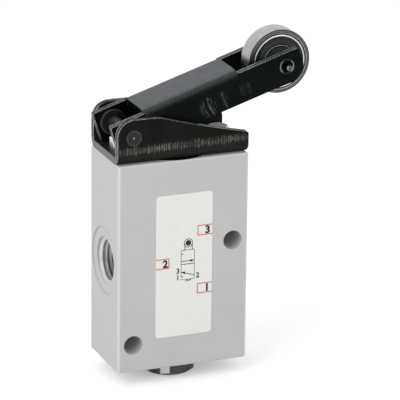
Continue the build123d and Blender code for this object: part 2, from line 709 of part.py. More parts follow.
def bearing_seal(side):
    """Thin rubber shield in the outer ring, at the front (side -1) or the back (side 1)."""
    thickness = BEARING_SEAL_THICKNESS
    shield = rod_across(OUTER_RING_BORE - 2 * SEAL_CLEARANCE, thickness)
    shield -= rod_across(INNER_RING_DIAMETER + 2 * BEARING_SEAL_GAP, 2 * thickness)
    offset = side * (ROLLER_WIDTH / 2 - BEARING_SEAL_INSET - thickness / 2)
    return on_axle(Pos(0, offset, 0) * shield)


def label():
    """Thin plate on the body's front face."""
    centre_x = body_left + LABEL_FROM_LEFT + LABEL_WIDTH / 2
    centre_z = body_bottom + LABEL_BASE_HEIGHT + LABEL_LENGTH / 2
    plate = RectangleRounded(LABEL_WIDTH, LABEL_LENGTH, LABEL_CORNER_RADIUS)
    return Pos(centre_x, body_front, centre_z) * extrude(Plane.XZ * plate, LABEL_THICKNESS)


nodes = {
    "valve_body": valve_body(),
    "bottom_plug": bottom_plug(),
    "plug_seal": plug_seal(),
    "poppet": poppet(),
    "poppet_seal": poppet_seal(),
    "poppet_spring": coil_spring(
        POPPET_SPRING_DIAMETER, POPPET_SPRING_WIRE, POPPET_SPRING_TURNS, plug_pocket_z, poppet_back_z
    ),
    "plunger": plunger(),
    "plunger_seal": plunger_seal(),
    "plunger_spring": coil_spring(
        PLUNGER_SPRING_DIAMETER, PLUNGER_SPRING_WIRE, PLUNGER_SPRING_TURNS, exhaust_floor_z, collar_z
    ),
    "guide_bush": guide_bush(),
    "bush_seal": bush_seal(),
    "rod_seal": rod_seal(),
    "bracket": bracket(),
    "bracket_screws": bracket_screws(),
    "pivot_pin": pivot_pin(),
    "pivot_rings": pivot_rings(),
    "lever_arm": lever_arm(),
    "roller_axle": roller_axle(),
    "axle_spacers": axle_spacers(),
    "bearing_outer_ring": bearing_outer_ring(),
    "bearing_inner_ring": bearing_inner_ring(),
    "bearing_balls": bearing_balls(),
    "bearing_cage": bearing_cage(),
    "bearing_seal_front": bearing_seal(-1),
    "bearing_seal_rear": bearing_seal(1),
    "label": label(),
}

os.makedirs("parts", exist_ok=True)
for name, shape in nodes.items():
    export_step(shape, f"parts/{name}.step")
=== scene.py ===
# %% [markdown]
# # A roller-lever poppet valve, dressed for its portrait
# The valve's bodies come from a CAD pack: a grey metal block, a bent black bracket, a bent black lever and
# a small ball bearing as its roller. This lesson gives every CAD node a finish, adds the fine pieces that
# CAD leaves out (port threads, print on the label, coil springs with closed ends, turned rims), then sets
# up a pale studio. Lengths are millimetres; Blender works in metres, so a mesh is scaled once, where it is
# made.

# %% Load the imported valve
import json
from math import cos, pi, radians, sin, sqrt, tan

import bmesh
import bpy
import numpy as np
from mathutils import Matrix, Vector


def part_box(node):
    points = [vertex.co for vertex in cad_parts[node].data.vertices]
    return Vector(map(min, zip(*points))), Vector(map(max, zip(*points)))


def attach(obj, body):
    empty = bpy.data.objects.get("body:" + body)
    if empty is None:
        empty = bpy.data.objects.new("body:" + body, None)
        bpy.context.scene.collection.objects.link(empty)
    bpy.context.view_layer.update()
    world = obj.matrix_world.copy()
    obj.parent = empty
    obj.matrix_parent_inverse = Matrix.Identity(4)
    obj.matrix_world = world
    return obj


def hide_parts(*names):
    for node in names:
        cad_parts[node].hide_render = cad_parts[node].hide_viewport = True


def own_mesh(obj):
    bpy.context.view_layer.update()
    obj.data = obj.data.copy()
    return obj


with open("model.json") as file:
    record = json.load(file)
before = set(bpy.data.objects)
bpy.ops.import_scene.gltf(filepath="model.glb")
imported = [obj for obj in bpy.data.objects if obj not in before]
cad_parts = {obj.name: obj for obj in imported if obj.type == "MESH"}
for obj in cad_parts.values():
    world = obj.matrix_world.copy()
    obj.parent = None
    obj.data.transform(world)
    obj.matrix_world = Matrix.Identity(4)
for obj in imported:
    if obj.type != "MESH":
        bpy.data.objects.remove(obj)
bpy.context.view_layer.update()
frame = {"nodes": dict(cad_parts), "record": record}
MM = 0.001
scene = bpy.context.scene

# %% [markdown]
# ## Where things are
# Nothing here is typed in twice. The axle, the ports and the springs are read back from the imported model,
# so a piece keeps its seat when the model changes. A node's box gives its middle, and a mount in the
# record gives a port's axis.

# %% Places read from the model
record = frame["record"]


def box_mm(node):
    """Lowest and highest corner of a node at rest, in millimetres."""
    return np.array(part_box(node)) / MM


mounts = {mount["name"]: mount for mount in record["mounts"]}
axle_place = box_mm("bearing_outer_ring").mean(axis=0)
pivot_place = box_mm("pivot_pin").mean(axis=0)
body_low, body_high = box_mm("valve_body")
bracket_low, bracket_high = box_mm("bracket")
label_low, label_high = box_mm("label")
print("axle", axle_place.round(2), "pivot", pivot_place.round(2), "label", label_low.round(2))

# %% [markdown]
# ## Camera
# The portrait looks down on the valve from the front left through a long lens, so upright edges stay
# nearly parallel. Three angles fix how the camera looks. They turn into the three axes of its matrix,
# which is surer than aiming it.

# %% Camera
VIEW_TURN = radians(-22.23)
VIEW_RISE = radians(18.76)
VIEW_ROLL = radians(0.70)
CAMERA_PLACE = Vector((-310.35, -781.88, 335.28)) * MM
LENS = 289.2

towards = Vector((sin(VIEW_TURN) * cos(VIEW_RISE), -cos(VIEW_TURN) * cos(VIEW_RISE), sin(VIEW_RISE)))
level = Vector((cos(VIEW_TURN), sin(VIEW_TURN), 0))
upright = towards.cross(level)
right = level * cos(VIEW_ROLL) + upright * sin(VIEW_ROLL)
up = upright * cos(VIEW_ROLL) - level * sin(VIEW_ROLL)
camera_data = bpy.data.cameras.new("camera")
camera_data.lens = LENS
camera_data.clip_start = 0.01
camera = bpy.data.objects.new("camera", camera_data)
camera.matrix_world = Matrix.Translation(CAMERA_PLACE) @ Matrix((right, up, towards)).transposed().to_4x4()
scene.collection.objects.link(camera)
scene.camera = camera
scene.view_settings.view_transform = "Standard"
print("camera", [round(v, 3) for v in CAMERA_PLACE], "lens", LENS)

# %% [markdown]
# ## Small tools for shader nodes
# A shader tree reads badly as a list of nodes and links. A few helpers keep it short: one adds a node with
# its inputs given by name, as a number or as another node's output, and the others each build one idea,
# such as a smooth step or a product. A node goes into the tree that its inputs come from.


# %% Shader helpers
def connect(socket, value):
    """Link a socket to an output, or set it to a number, a vector or a colour."""
    if isinstance(value, bpy.types.NodeSocket):
        socket.id_data.links.new(value, socket)
    else:
        socket.default_value = (*value, 1.0) if socket.type == "RGBA" else value


def add(tree, kind, inputs=None, **fields):
    """Add a shader node; inputs are numbers or outputs by socket name, fields are its own settings."""
    made = tree.nodes.new("ShaderNode" + kind)
    for field, value in fields.items():
        setattr(made, field, value)
    for socket, value in (inputs or {}).items():
        connect(made.inputs[socket], value)
    return made


def tree_of(*values):
    """Tree of the first output among some values."""
    return next(value.id_data for value in values if isinstance(value, bpy.types.NodeSocket))


def reckon(operation, *values):
    """One step of arithmetic on numbers or outputs, as an output."""
    return add(tree_of(*values), "Math", dict(enumerate(values)), operation=operation).outputs[0]


def chain(operation, values):
    """The same operation on many values, from left to right."""
    result = values[0]
    for value in values[1:]:
        result = reckon(operation, result, value)
    return result


def product(*values):
    """Product of numbers and outputs."""
    return chain("MULTIPLY", values)


def largest(*values):
    """Largest of several outputs."""
    return chain("MAXIMUM", values)


def size_of(value):
    """An output without its sign."""
    return reckon("ABSOLUTE", value)


def rest_of(share):
    """What a share leaves of 1."""
    return reckon("SUBTRACT", 1.0, share)


def ramp(value, low, high, start=0.0, end=1.0):
    """Smooth step of an output from low to high, onto start to end."""
    inputs = {"Value": value, "From Min": low, "From Max": high, "To Min": start, "To Max": end}
    return add(tree_of(value), "MapRange", inputs, interpolation_type="SMOOTHSTEP").outputs["Result"]


def ramp_mm(length, low, high):
    """Smooth step of a length, with its limits in millimetres."""
    return ramp(length, low * MM, high * MM)


def close_to(length, target, width):
    """1 within half a width of a target in millimetres, fading out at the whole width."""
    return ramp_mm(size_of(reckon("SUBTRACT", length, target * MM)), width, width / 2)


def blend_colour(share, under, over):
    """Colour that goes from under to over as the share goes from 0 to 1."""
    inputs = {"Factor": share, 6: under, 7: over}
    return add(tree_of(share), "Mix", inputs, data_type="RGBA").outputs[2]


def layers(colour, *coats):
    """Colour with coats laid over it in turn, each given as (share, colour)."""
    for share, coat in coats:
        colour = blend_colour(share, colour, coat)
    return colour


def split(vector):
    """X, Y and Z of a vector output."""
    return add(tree_of(vector), "SeparateXYZ", {"Vector": vector}).outputs


def paired(along, beside):
    """Vector of two outputs, with nothing in its third place."""
    return add(tree_of(along), "CombineXYZ", {"X": along, "Y": beside}).outputs[0]


def moved_to(place, centre):
    """Object coordinates moved so that a point, in millimetres, is the origin."""
    inputs = {"Vector": place, "Location": [-value * MM for value in centre]}
    return add(tree_of(place), "Mapping", inputs).outputs["Vector"]


def turned_by(vector, *angles):
    """Vector turned about the origin by three angles."""
    return add(tree_of(vector), "Mapping", {"Vector": vector, "Rotation": angles}).outputs["Vector"]


def noise(place, scale, detail=2.0, roughness=0.5):
    """Plain noise, about half on average."""
    inputs = {"Vector": place, "Scale": scale, "Detail": detail, "Roughness": roughness}
    return add(tree_of(place), "TexNoise", inputs).outputs["Fac"]


def comb(along, beside, scale, low, high):
    """Lines of uneven spacing across a direction: noise that doesn't change with height."""
    return ramp(noise(paired(along, beside), scale, 1.0), low, high)


def speckled(place):
    """Small breaks in a line, which leave a quarter of it where it is weakest."""
    return ramp(noise(place, 1700.0, 3.0), 0.40, 0.60, 0.25, 1.0)


def from_axis(where, axes):
    """Distance from the third axis: the square root of the sum of two squares."""
    squares = [product(where[axis], where[axis]) for axis in axes]
    return reckon("SQRT", reckon("ADD", *squares))


def soft_spot(where, centre, radii):
    """1 inside an ellipse of the XZ plane, measured in millimetres, fading out at its rim."""
    squares = []
    for axis, middle, radius in zip("XZ", centre, radii):
        share = reckon("DIVIDE", reckon("SUBTRACT", where[axis], middle * MM), radius * MM)
        squares.append(product(share, share))
    return ramp(reckon("ADD", *squares), 1.0, 0.35)


def opaque(colour):
    """Colour with an alpha of 1, where a single number stands for a neutral grey."""
    return (*colour, 1.0) if isinstance(colour, tuple) else (colour, colour, colour * 1.01, 1.0)


def colour_by_radius(radius, stops):
    """Colour that follows a distance from an axis: stops are (millimetres, colour), in rising order."""
    tree, first, last = tree_of(radius), stops[0][0], stops[-1][0]
    share = add(tree, "MapRange", {"Value": radius, "From Min": first * MM, "From Max": last * MM})
    made = add(tree, "ValToRGB", {"Fac": share.outputs["Result"]})
    elements = made.color_ramp.elements
    elements[0].color = opaque(stops[0][1])
    elements[1].color = opaque(stops[-1][1])
    for distance, colour in stops[1:-1]:
        elements.new((distance - first) / (last - first)).color = opaque(colour)
    return made.outputs["Color"]


def start_group(name, inputs, outputs):
    """Empty node group with named sockets; gives its tree, what comes in and what goes out."""
    tree = bpy.data.node_groups.new(name, "ShaderNodeTree")
    for title, value in inputs.items():
        kind = "NodeSocketVector" if value is None else "NodeSocketFloat"
        socket = tree.interface.new_socket(title, in_out="INPUT", socket_type=kind)
        if value is not None:
            socket.default_value = value
    for title, kind in outputs.items():
        tree.interface.new_socket(title, in_out="OUTPUT", socket_type="NodeSocket" + kind)
    return tree, tree.nodes.new("NodeGroupInput").outputs, tree.nodes.new("NodeGroupOutput").inputs


def placed(group, **inputs):
    """Place a shared group, with its inputs by name, and give its outputs."""
    return add(tree_of(*inputs.values()), "Group", inputs, node_tree=group).outputs


# %% [markdown]
# ## Effects that several finishes share
# Real surfaces are never one colour: painted metal has a grain, a turned face has rings, handled edges are
# rubbed bright, and oil leaves soft patches. Each effect is a node group, built once and placed in each
# finish with its own values. Patterns are read in Object coordinates, which are metres here, so a scale of
# 2000 is two waves a millimetre.

# %% Grain: fine relief and a soft change of tone
sockets = {"Place": None, "Fineness": 4000.0, "Patch": 120.0}
grain, given, out = start_group("grain", sockets, {"Height": "Float", "Tone": "Float"})
fine = noise(given["Place"], given["Fineness"], 3.0, 0.6)
soft = noise(given["Place"], given["Patch"], 4.0, 0.55)
connect(out["Height"], fine)
connect(out["Tone"], ramp(reckon("ADD", product(fine, 0.35), soft), 0.45, 0.9))
print("group", grain.name)

# %% Worn edges: where a rounded corner would turn the surface
sockets = {"Place": None, "Radius": 0.0003, "Patch": 900.0}
worn_edges, given, out = start_group("worn_edges", sockets, {"Mask": "Float", "Normal": "Vector"})
rounded_off = add(worn_edges, "Bevel", {"Radius": given["Radius"]}, samples=6).outputs[0]
flat = add(worn_edges, "NewGeometry").outputs["Normal"]
agree = add(worn_edges, "VectorMath", {0: rounded_off, 1: flat}, operation="DOT_PRODUCT").outputs["Value"]
rubbed = ramp(noise(given["Place"], given["Patch"], 3.0), 0.38, 0.62)
connect(out["Mask"], product(ramp(agree, 0.995, 0.90), rubbed))
connect(out["Normal"], rounded_off)
print("group", worn_edges.name)

# %% Lathe marks: fine rings round the Y axis, on faces and on rims alike
sockets = {"Place": None, "Fineness": 9000.0}
lathe_marks, given, out = start_group("lathe_marks", sockets, {"Height": "Float"})
where = split(given["Place"])
connect(out["Height"], noise(paired(from_axis(where, "XZ"), where["Y"]), given["Fineness"]))
print("group", lathe_marks.name)

# %% Scratches: strokes along Z or across it, thinned out by patches
sockets = {"Place": None, "Fineness": 3000.0, "Stretch": 0.06, "Share": 0.3}
scratches, given, out = start_group("scratches", sockets, {"Mask": "Float"})
squeeze = add(scratches, "CombineXYZ", {"X": 1.0, "Y": 1.0, "Z": given["Stretch"]}).outputs[0]
drawn = add(scratches, "VectorMath", {0: given["Place"], 1: squeeze}, operation="MULTIPLY").outputs[0]
edge = reckon("SUBTRACT", 0.72, product(given["Share"], 0.4))
strokes = ramp(noise(drawn, given["Fineness"]), edge, reckon("ADD", edge, 0.05))
connect(out["Mask"], product(strokes, ramp(noise(given["Place"], 420.0), 0.4, 0.62)))
print("group", scratches.name)


# %% [markdown]
# ## Starting a finish
# Every finish is one Principled shader. What is the same all over the surface is set straight on its
# sockets, and what changes over the surface is linked to them. The relief of a pattern goes in through a
# Bump node.


# %% Finish helpers
def feed(shader, **values):
    """Set or link a shader's sockets by name, with _ for each space."""
    for name, value in values.items():
        connect(shader.inputs[name.replace("_", " ")], value)


def new_finish(name, **sockets):
    """Material with a Principled shader; gives both, with Object coordinates and normals."""
    finish = bpy.data.materials.new(name)
    finish.use_nodes = True
    shader = finish.node_tree.nodes["Principled BSDF"]
    feed(shader, **sockets)
    read = add(finish.node_tree, "TexCoord").outputs
    return finish, shader, read["Object"], read["Normal"]


def coated(place, fineness, patch, rounding, wear):
    """Grain and worn edges of a surface, by the scales of their noises and the rounding in millimetres."""
    skin = placed(grain, Place=place, Fineness=fineness, Patch=patch)
    return skin, placed(worn_edges, Place=place, Radius=rounding * MM, Patch=wear)


def complete(shader, colour, rough, depth, skin, edges=None, **others):
    """Give a shader its colour, and a roughness and a relief that follow the tone and height of its skin.

    Rough holds both limits, the depth is in micrometres, and others may name another Tone or Height.
    """
    follows = {"Tone": skin["Tone"], "Height": skin["Height"], **others}
    feed(shader, Base_Color=colour, Roughness=ramp(follows["Tone"], 0.0, 1.0, *rough))
    inputs = {"Height": follows["Height"], "Distance": depth * 1e-6, "Strength": 1.0}
    if edges:
        inputs["Normal"] = edges["Normal"]
    feed(shader, Normal=add(shader.id_data, "Bump", inputs).outputs["Normal"])


finish_of = {}

# %% [markdown]
# ## The block: light grey satin metal
# The block is extruded aluminium, painted or anodised a warm light grey. Up close it has a fine pebbled
# grain, and its rounded corners and chamfers carry a painted highlight, a shade lighter than the rest. A
# dielectric with a middling roughness gives the satin look. The corners are found by position, and so is
# the round recess in the top, which is painted near black as the shade under the bracket. Painted shade
# also darkens the lower, inner part of each port.

# %% Painted shade in the ports
PORTS = ("outlet_port", "supply_port", "exhaust_port")
PORT_PAINTED_SHADE = (0.085, 0.090, 0.092)


def painted_shade_in_ports(place):
    """Share of painted shade: it grows from a port's mouth inwards and from its upper side down."""
    shares = []
    for port in (mounts[name] for name in PORTS):
        wall, half = port["dims"]["r_mm"], port["dims"]["length_mm"] / 2
        local = split(moved_to(place, np.array(port["pos_m"]) / MM))
        outwards = product(local["X"], port["axis"][0])
        inside = ramp_mm(from_axis(local, "YZ"), wall + 0.12, wall + 0.04)
        this_side = ramp_mm(outwards, -half - 1.2, -half - 1.0)
        deep = ramp_mm(outwards, half, half * 0.15)
        low = ramp_mm(local["Z"], wall * 0.3, -wall * 0.75)
        shares.append(product(inside, this_side, deep, low, 0.9))
    return largest(*shares)


# %% Block finish
BLOCK_GREY, BLOCK_LIGHT = (0.512, 0.520, 0.512), (0.540, 0.548, 0.540)
CORNER_PAINTED_HIGHLIGHT = (0.655, 0.662, 0.655)
RECESS_PAINTED_SHADE = (0.012, 0.012, 0.013)
CORNER_ROUNDING = 0.6
END_CHAMFER = 0.3
RECESS_RADIUS = 10.45
block_finish, shader, place, _ = new_finish("satin_grey", Specular_IOR_Level=0.32)
block_grain, block_edges = coated(place, 5200.0, 70.0, 0.35, 260.0)
where = split(place)


def past(axis, inset):
    """1 within an inset, in millimetres, of the block's sides along an axis."""
    edge = (body_high[axis] - body_low[axis]) / 2 - inset
    return ramp_mm(size_of(where["XYZ"[axis]]), edge - 0.12, edge + 0.12)


low_edge, high_edge = body_low[2] + END_CHAMFER, body_high[2] - END_CHAMFER
low_end = ramp_mm(where["Z"], low_edge + 0.05, low_edge - 0.05)
high_end = ramp_mm(where["Z"], high_edge - 0.05, high_edge + 0.05)
near_side = largest(past(0, END_CHAMFER), past(1, END_CHAMFER))
upright_corner = product(past(0, CORNER_ROUNDING), past(1, CORNER_ROUNDING))
# Painted highlight: the rounded upright corners and the chamfered ends are painted lighter.
edge_painted_highlight = largest(upright_corner, product(near_side, largest(low_end, high_end)))
# Painted shade: the round recess in the top is painted near black, as the shade under the bracket.
in_recess = ramp_mm(from_axis(where, "XY"), RECESS_RADIUS + 0.08, RECESS_RADIUS)
recess_painted_shade = product(in_recess, ramp_mm(where["Z"], body_high[2] - 0.9, body_high[2] - 0.7))
colour = layers(
    blend_colour(block_grain["Tone"], BLOCK_GREY, BLOCK_LIGHT),
    (product(edge_painted_highlight, 0.9), CORNER_PAINTED_HIGHLIGHT),
    (painted_shade_in_ports(place), PORT_PAINTED_SHADE),
    (recess_painted_shade, RECESS_PAINTED_SHADE),
)
complete(shader, colour, (0.44, 0.52), 12, block_grain, block_edges)
finish_of["valve_body"] = block_finish
print("finish", block_finish.name)

# %% [markdown]
# ## The bracket: oiled black sheet
# The bracket is blanked from 2 mm sheet, bent to a U and blackened, so its faces are nearly black with a
# warm tinge. Its ends have rubbed to grey, and along every cut edge the corners have lost their black and
# show as thin bright lines. Along its cheeks, a little above the fold, runs a row of pale upright nicks
# where the press tool gripped it. A noise that changes only along X draws the nicks, and a second one sets
# how tall each of them is.

# %% Bracket finish
SHEET = 2.0
NICK_HEIGHT = bracket_low[2] + 4.25
NICK_CLIMB = 0.018
FOLD_TOP = bracket_low[2] + 2.8
CORNER_LINE = 0.46
black_sheet, shader, place, facing = new_finish("oiled_black_sheet", Specular_IOR_Level=0.055)
where, normal = split(place), split(facing)
across, endwise, sideways = size_of(normal["Y"]), size_of(normal["X"]), size_of(where["Y"])
sheet_grain, sheet_edges = coated(place, 2600.0, 240.0, 0.14, 1500.0)
speckle = speckled(place)
print("nicks at", round(NICK_HEIGHT, 2), "mm")

# %% Where the bracket is cut and worn
cheek_outer, cheek_inner = bracket_high[1], bracket_high[1] - SHEET
above_fold = ramp_mm(where["Z"], FOLD_TOP - 0.2, FOLD_TOP)
in_cheek = ramp_mm(sideways, cheek_inner - 0.1, cheek_inner)
crest = product(in_cheek, ramp(across, 0.5, 0.2), above_fold)
end_face = ramp(endwise, 0.25, 0.95)
inner_line = product(close_to(sideways, cheek_inner, CORNER_LINE), end_face)
corner_line = product(crest, largest(close_to(sideways, cheek_outer, CORNER_LINE), inner_line), speckle)
cheek_end = product(crest, end_face)
web_end = product(ramp(endwise, 0.9, 0.98), rest_of(above_fold))
foot = ramp_mm(where["Z"], bracket_low[2] + 7.0, bracket_low[2] + 2.5)
print("bracket edges found")

# %% Where the bracket is nicked
row = reckon("ADD", product(where["X"], NICK_CLIMB), NICK_HEIGHT * MM)
off_row = size_of(reckon("SUBTRACT", where["Z"], row))
tallness = noise(paired(where["X"], where["Y"]), 1900.0)
reach = ramp(tallness, 0.32, 0.68, 0.35 * MM, 1.45 * MM)
in_row = ramp_mm(reckon("SUBTRACT", off_row, reach), 0.2, -0.25)
stray = product(ramp(tallness, 0.62, 0.70), ramp_mm(off_row, 3.6, 2.0), 0.35)
strength = product(ramp(speckle, 0.0, 1.0, 0.45, 1.0), ramp(noise(place, 330.0), 0.36, 0.60, 0.35, 1.0))
nicks = product(comb(where["X"], where["Y"], 4000.0, 0.44, 0.62), largest(in_row, stray), strength)
outer_face = ramp_mm(sideways, cheek_outer - 0.12, cheek_outer - 0.05)
nicked = product(nicks, outer_face, ramp(across, 0.8, 0.95))
print("bracket nicks drawn")

# %% Bracket colours
colour = layers(
    blend_colour(sheet_grain["Tone"], (0.0045, 0.0052, 0.0040), (0.0085, 0.0095, 0.0076)),
    (foot, (0.0150, 0.0165, 0.0140)),
    (crest, (0.016, 0.017, 0.016)),
    (cheek_end, (0.062, 0.064, 0.060)),
    (web_end, (0.165, 0.167, 0.162)),
    (nicked, (0.210, 0.216, 0.196)),
    (corner_line, (0.50, 0.505, 0.495)),
    (product(sheet_edges["Mask"], 0.6), (0.30, 0.305, 0.295)),
)
complete(shader, colour, (0.30, 0.44), 10, sheet_grain, sheet_edges)
finish_of["bracket"] = black_sheet
print("finish", black_sheet.name)

# %% [markdown]
# ## The lever: blackened, with a painted reflection on its web
# The lever is the same sheet with a cooler, blue-black finish. Its top web, which faces up, carries a
# painted reflection: a flat mid grey that dies away round the fold, while its cheeks stay black. Three
# small groups of bent scratches cross the front cheek where the bracket's edge has brushed it. The pattern
# belongs to the lever, so Object coordinates are moved to the pivot and turned by the lever's rest angle
# before anything is placed in them.

# %% Lever finish
LEVER_REST = radians(17.6)
WEB_RISE, WEB_FRONT = 5.1, 34.1
LEVER_OUTER, LEVER_INNER = 8.0, 6.0
SCRATCH_SPOTS = (
    ((23.1, -1.5), (3.0, 3.3), 1.0),
    ((27.6, -1.4), (1.9, 3.3), 0.8),
    ((34.7, -0.8), (2.4, 2.3), 0.35),
)
lever_black, shader, place, facing = new_finish("blue_black_sheet", Specular_IOR_Level=0.045)
where = split(turned_by(moved_to(place, pivot_place), 0, LEVER_REST, 0))
normal = split(turned_by(facing, 0, LEVER_REST, 0))
across, sideways = size_of(normal["Y"]), size_of(where["Y"])
lever_grain, lever_edges = coated(place, 2200.0, 300.0, 0.12, 1300.0)
speckle = speckled(place)
print("lever turned by", round(LEVER_REST, 4))

# %% Where the lever is rubbed, cut and scratched
on_web = ramp_mm(where["Z"], WEB_RISE - 3.4, WEB_RISE - 2.4)
# Painted reflection: the up-facing web and its fold are painted grey, as the bright air above would show.
web_top_painted_reflection = product(on_web, ramp(normal["Z"], 0.84, 0.98))
web_fold_painted_reflection = product(on_web, ramp(normal["Z"], 0.38, 0.86), ramp(speckle, 0.0, 1.0, 0.7, 1.0))
in_cheek = ramp_mm(sideways, LEVER_INNER - 0.1, LEVER_INNER)
below_web = ramp_mm(where["Z"], WEB_RISE - 0.6, WEB_RISE - 0.7)
off_front = rest_of(close_to(where["X"], WEB_FRONT, 0.7))
cut = product(in_cheek, below_web, off_front, ramp(across, 0.5, 0.2))
corners = [close_to(sideways, edge, CORNER_LINE) for edge in (LEVER_OUTER, LEVER_INNER)]
corner_line = product(cut, largest(*corners), speckle)
bent_along = reckon("SUBTRACT", where["X"], product(where["Z"], where["Z"], 45.0))
strokes = comb(bent_along, where["Y"], 3600.0, 0.52, 0.66)
patchy = ramp(noise(place, 900.0), 0.36, 0.60, 0.2, 1.0)
spots = [product(soft_spot(where, centre, radii), weight) for centre, radii, weight in SCRATCH_SPOTS]
marked = product(strokes, largest(*spots), patchy, ramp(across, 0.8, 0.95))
print("scratched spots", len(spots))

# %% Lever colours
off_web = reckon("SUBTRACT", 0.5, product(on_web, 0.5))
colour = layers(
    blend_colour(lever_grain["Tone"], (0.0014, 0.0026, 0.0029), (0.0036, 0.0053, 0.0057)),
    (web_fold_painted_reflection, (0.052, 0.060, 0.058)),
    (web_top_painted_reflection, (0.098, 0.103, 0.110)),
    (cut, (0.055, 0.061, 0.061)),
    (marked, (0.125, 0.133, 0.136)),
    (corner_line, (0.34, 0.35, 0.355)),
    (product(lever_edges["Mask"], off_web, off_front), (0.27, 0.28, 0.285)),
)
feed(shader, Metallic=product(web_top_painted_reflection, 0.3))
complete(shader, colour, (0.30, 0.44), 8, lever_grain, lever_edges)
finish_of["lever_arm"] = lever_black
print("finish", lever_black.name)


# %% [markdown]
# ## Turned and ground metals
# The roller's rings, its axle, the pin, the plunger and the bush all come off a lathe, so they share one
# recipe: a metal whose relief is the lathe marks group, centred on the piece's own axis. What differs is
# the colour, the roughness and how deep the marks are, so one function makes them all. Where a piece has
# rings of different colours, its colour follows the distance from its axis.


# %% Turned metals
def turned_metal(
    name, colour, rough, centre, depth, along_z=False, metal=1.0, level=0.5, rings=None, arcs=None
):
    """Metal with lathe marks, some micrometres deep, round an axis along Y, or Z, through a centre.

    Rings colour it by distance from its axis; arcs, painted highlights, do so on its left and right sides
    only.
    """
    finish, shader, place, _ = new_finish(name, Metallic=metal, Specular_IOR_Level=level)
    local = moved_to(place, centre)
    if along_z:
        local = turned_by(local, radians(90), 0, 0)
    marks = placed(lathe_marks, Place=local, Fineness=9000.0)
    bits, edges = coated(place, 5000.0, 420.0, 0.12, 900.0)
    base = colour
    if rings:
        where = split(local)
        radius = from_axis(where, "XZ")
        base = colour_by_radius(radius, rings)
    if arcs:
        beside = ramp(reckon("DIVIDE", size_of(where["X"]), radius), 0.45, 0.85)
        base = blend_colour(beside, base, colour_by_radius(radius, arcs))
    uneven = ramp(bits["Tone"], 0.0, 1.0, 0.84, 1.0)
    dimmed = {0: base, "Scale": uneven}
    tint = add(finish.node_tree, "VectorMath", dimmed, operation="SCALE").outputs["Vector"]
    paler = tuple(min(1.0, value * 1.3) for value in colour)
    tint = blend_colour(product(edges["Mask"], 0.7), tint, paler)
    complete(shader, tint, (rough, rough + 0.12), depth, bits, edges, Height=marks["Height"])
    return finish


# %% [markdown]
# The tyre is ground on its tread. Its sides are painted dark as shade, but for a few rings of painted
# highlight where the grinding wheel, the step and the chamfer catch the light, and the inner ring's side has
# the same painted shade and highlight. The axle's lip and nub carry painted highlights on their left and
# right sides, and its cup painted shade. The pin's rim is rubbed, its face is dark, and its punch mark
# carries a painted glint; each pivot ring's rim carries a painted highlight. A stop is a radius with its
# colour, or with a single number for grey.

# %% Metals of the roller and the pivot
TREAD_RADIUS = 9.05
PIVOT_RING_RADIUS = 3.6
DARK_STEEL = (0.030, 0.033, 0.035)
# Painted shade and highlight: dark sides with bright rings on the tyre, and the same on the inner ring.
tyre_painted_light_rings = [
    (7.00, 0.72), (7.47, 0.72), (7.56, 0.020), (7.90, 0.030), (7.96, 0.60), (8.12, 0.45), (8.20, 0.055),
    (8.48, 0.050), (8.56, 0.22), (8.66, 0.20), (8.74, 0.035),
    (TREAD_RADIUS - 0.025, (0.050, 0.048, 0.047)), (TREAD_RADIUS - 0.005, (0.49, 0.462, 0.456)),
]
inner_ring_painted_light = [(3.0, 0.03), (4.50, 0.035), (4.56, 0.60), (4.72, 0.50)]
# Painted shade in the axle's cup, and painted highlights on the lip's and the nub's left and right sides.
axle_rings_painted_shade = [
    (0.0, 0.100), (0.72, 0.075), (0.88, 0.012), (1.08, 0.006), (1.58, 0.008), (1.70, 0.020), (2.08, 0.018),
    (2.18, 0.028), (2.32, 0.016),
]
axle_painted_highlights = [
    (0.0, 0.100), (0.55, 0.12), (0.75, 0.34), (0.90, 0.012), (1.08, 0.006), (1.60, 0.010), (1.82, 0.030),
    (1.94, 0.46), (2.08, 0.050), (2.32, 0.016),
]
# The pin's bright centre dot is a painted glint in its punch mark.
pin_rings_painted_glint = [
    (0.0, 0.40), (0.18, 0.34), (0.30, 0.018), (0.80, 0.024), (0.95, 0.038), (1.10, 0.022), (1.72, 0.024),
    (1.90, 0.055), (2.12, 0.045), (2.22, 0.022),
]
# Painted highlight on the rim of each pivot ring.
pivot_ring_painted_highlight = [
    (PIVOT_RING_RADIUS - 0.30, 0.020), (PIVOT_RING_RADIUS - 0.18, 0.12), (PIVOT_RING_RADIUS, 0.10),
]
grey_steel = {"metal": 0.5, "level": 0.2}
metals = {
    "ground_steel": ((0.50, 0.47, 0.46), 0.30, axle_place, 3, {"rings": tyre_painted_light_rings}),
    "race_steel": ((0.50, 0.50, 0.51), 0.28, axle_place, 3, {"rings": inner_ring_painted_light}),
    "polished_ball_steel": ((0.60, 0.60, 0.61), 0.12, axle_place, 1, {}),
    "axle_steel": ((0.06, 0.063, 0.066), 0.28, axle_place, 3, {"rings": axle_rings_painted_shade, "arcs": axle_painted_highlights}),
    "dark_pin_steel": ((0.09, 0.094, 0.097), 0.36, pivot_place, 5, {"metal": 0.8, "rings": pin_rings_painted_glint}),
    "dark_spacer_steel": (DARK_STEEL, 0.32, axle_place, 6, grey_steel),
    "dark_ring_steel": (DARK_STEEL, 0.34, pivot_place, 6, {**grey_steel, "rings": pivot_ring_painted_highlight}),
}
ground_steel, race_steel, ball_steel, axle_steel, pin_steel, spacer_steel, ring_steel = (
    turned_metal(name, *values, **extra) for name, (*values, extra) in metals.items()
)
print("rings on the tyre", len(tyre_painted_light_rings), "on the axle", len(axle_rings_painted_shade), "on the pin", len(pin_rings_painted_glint))

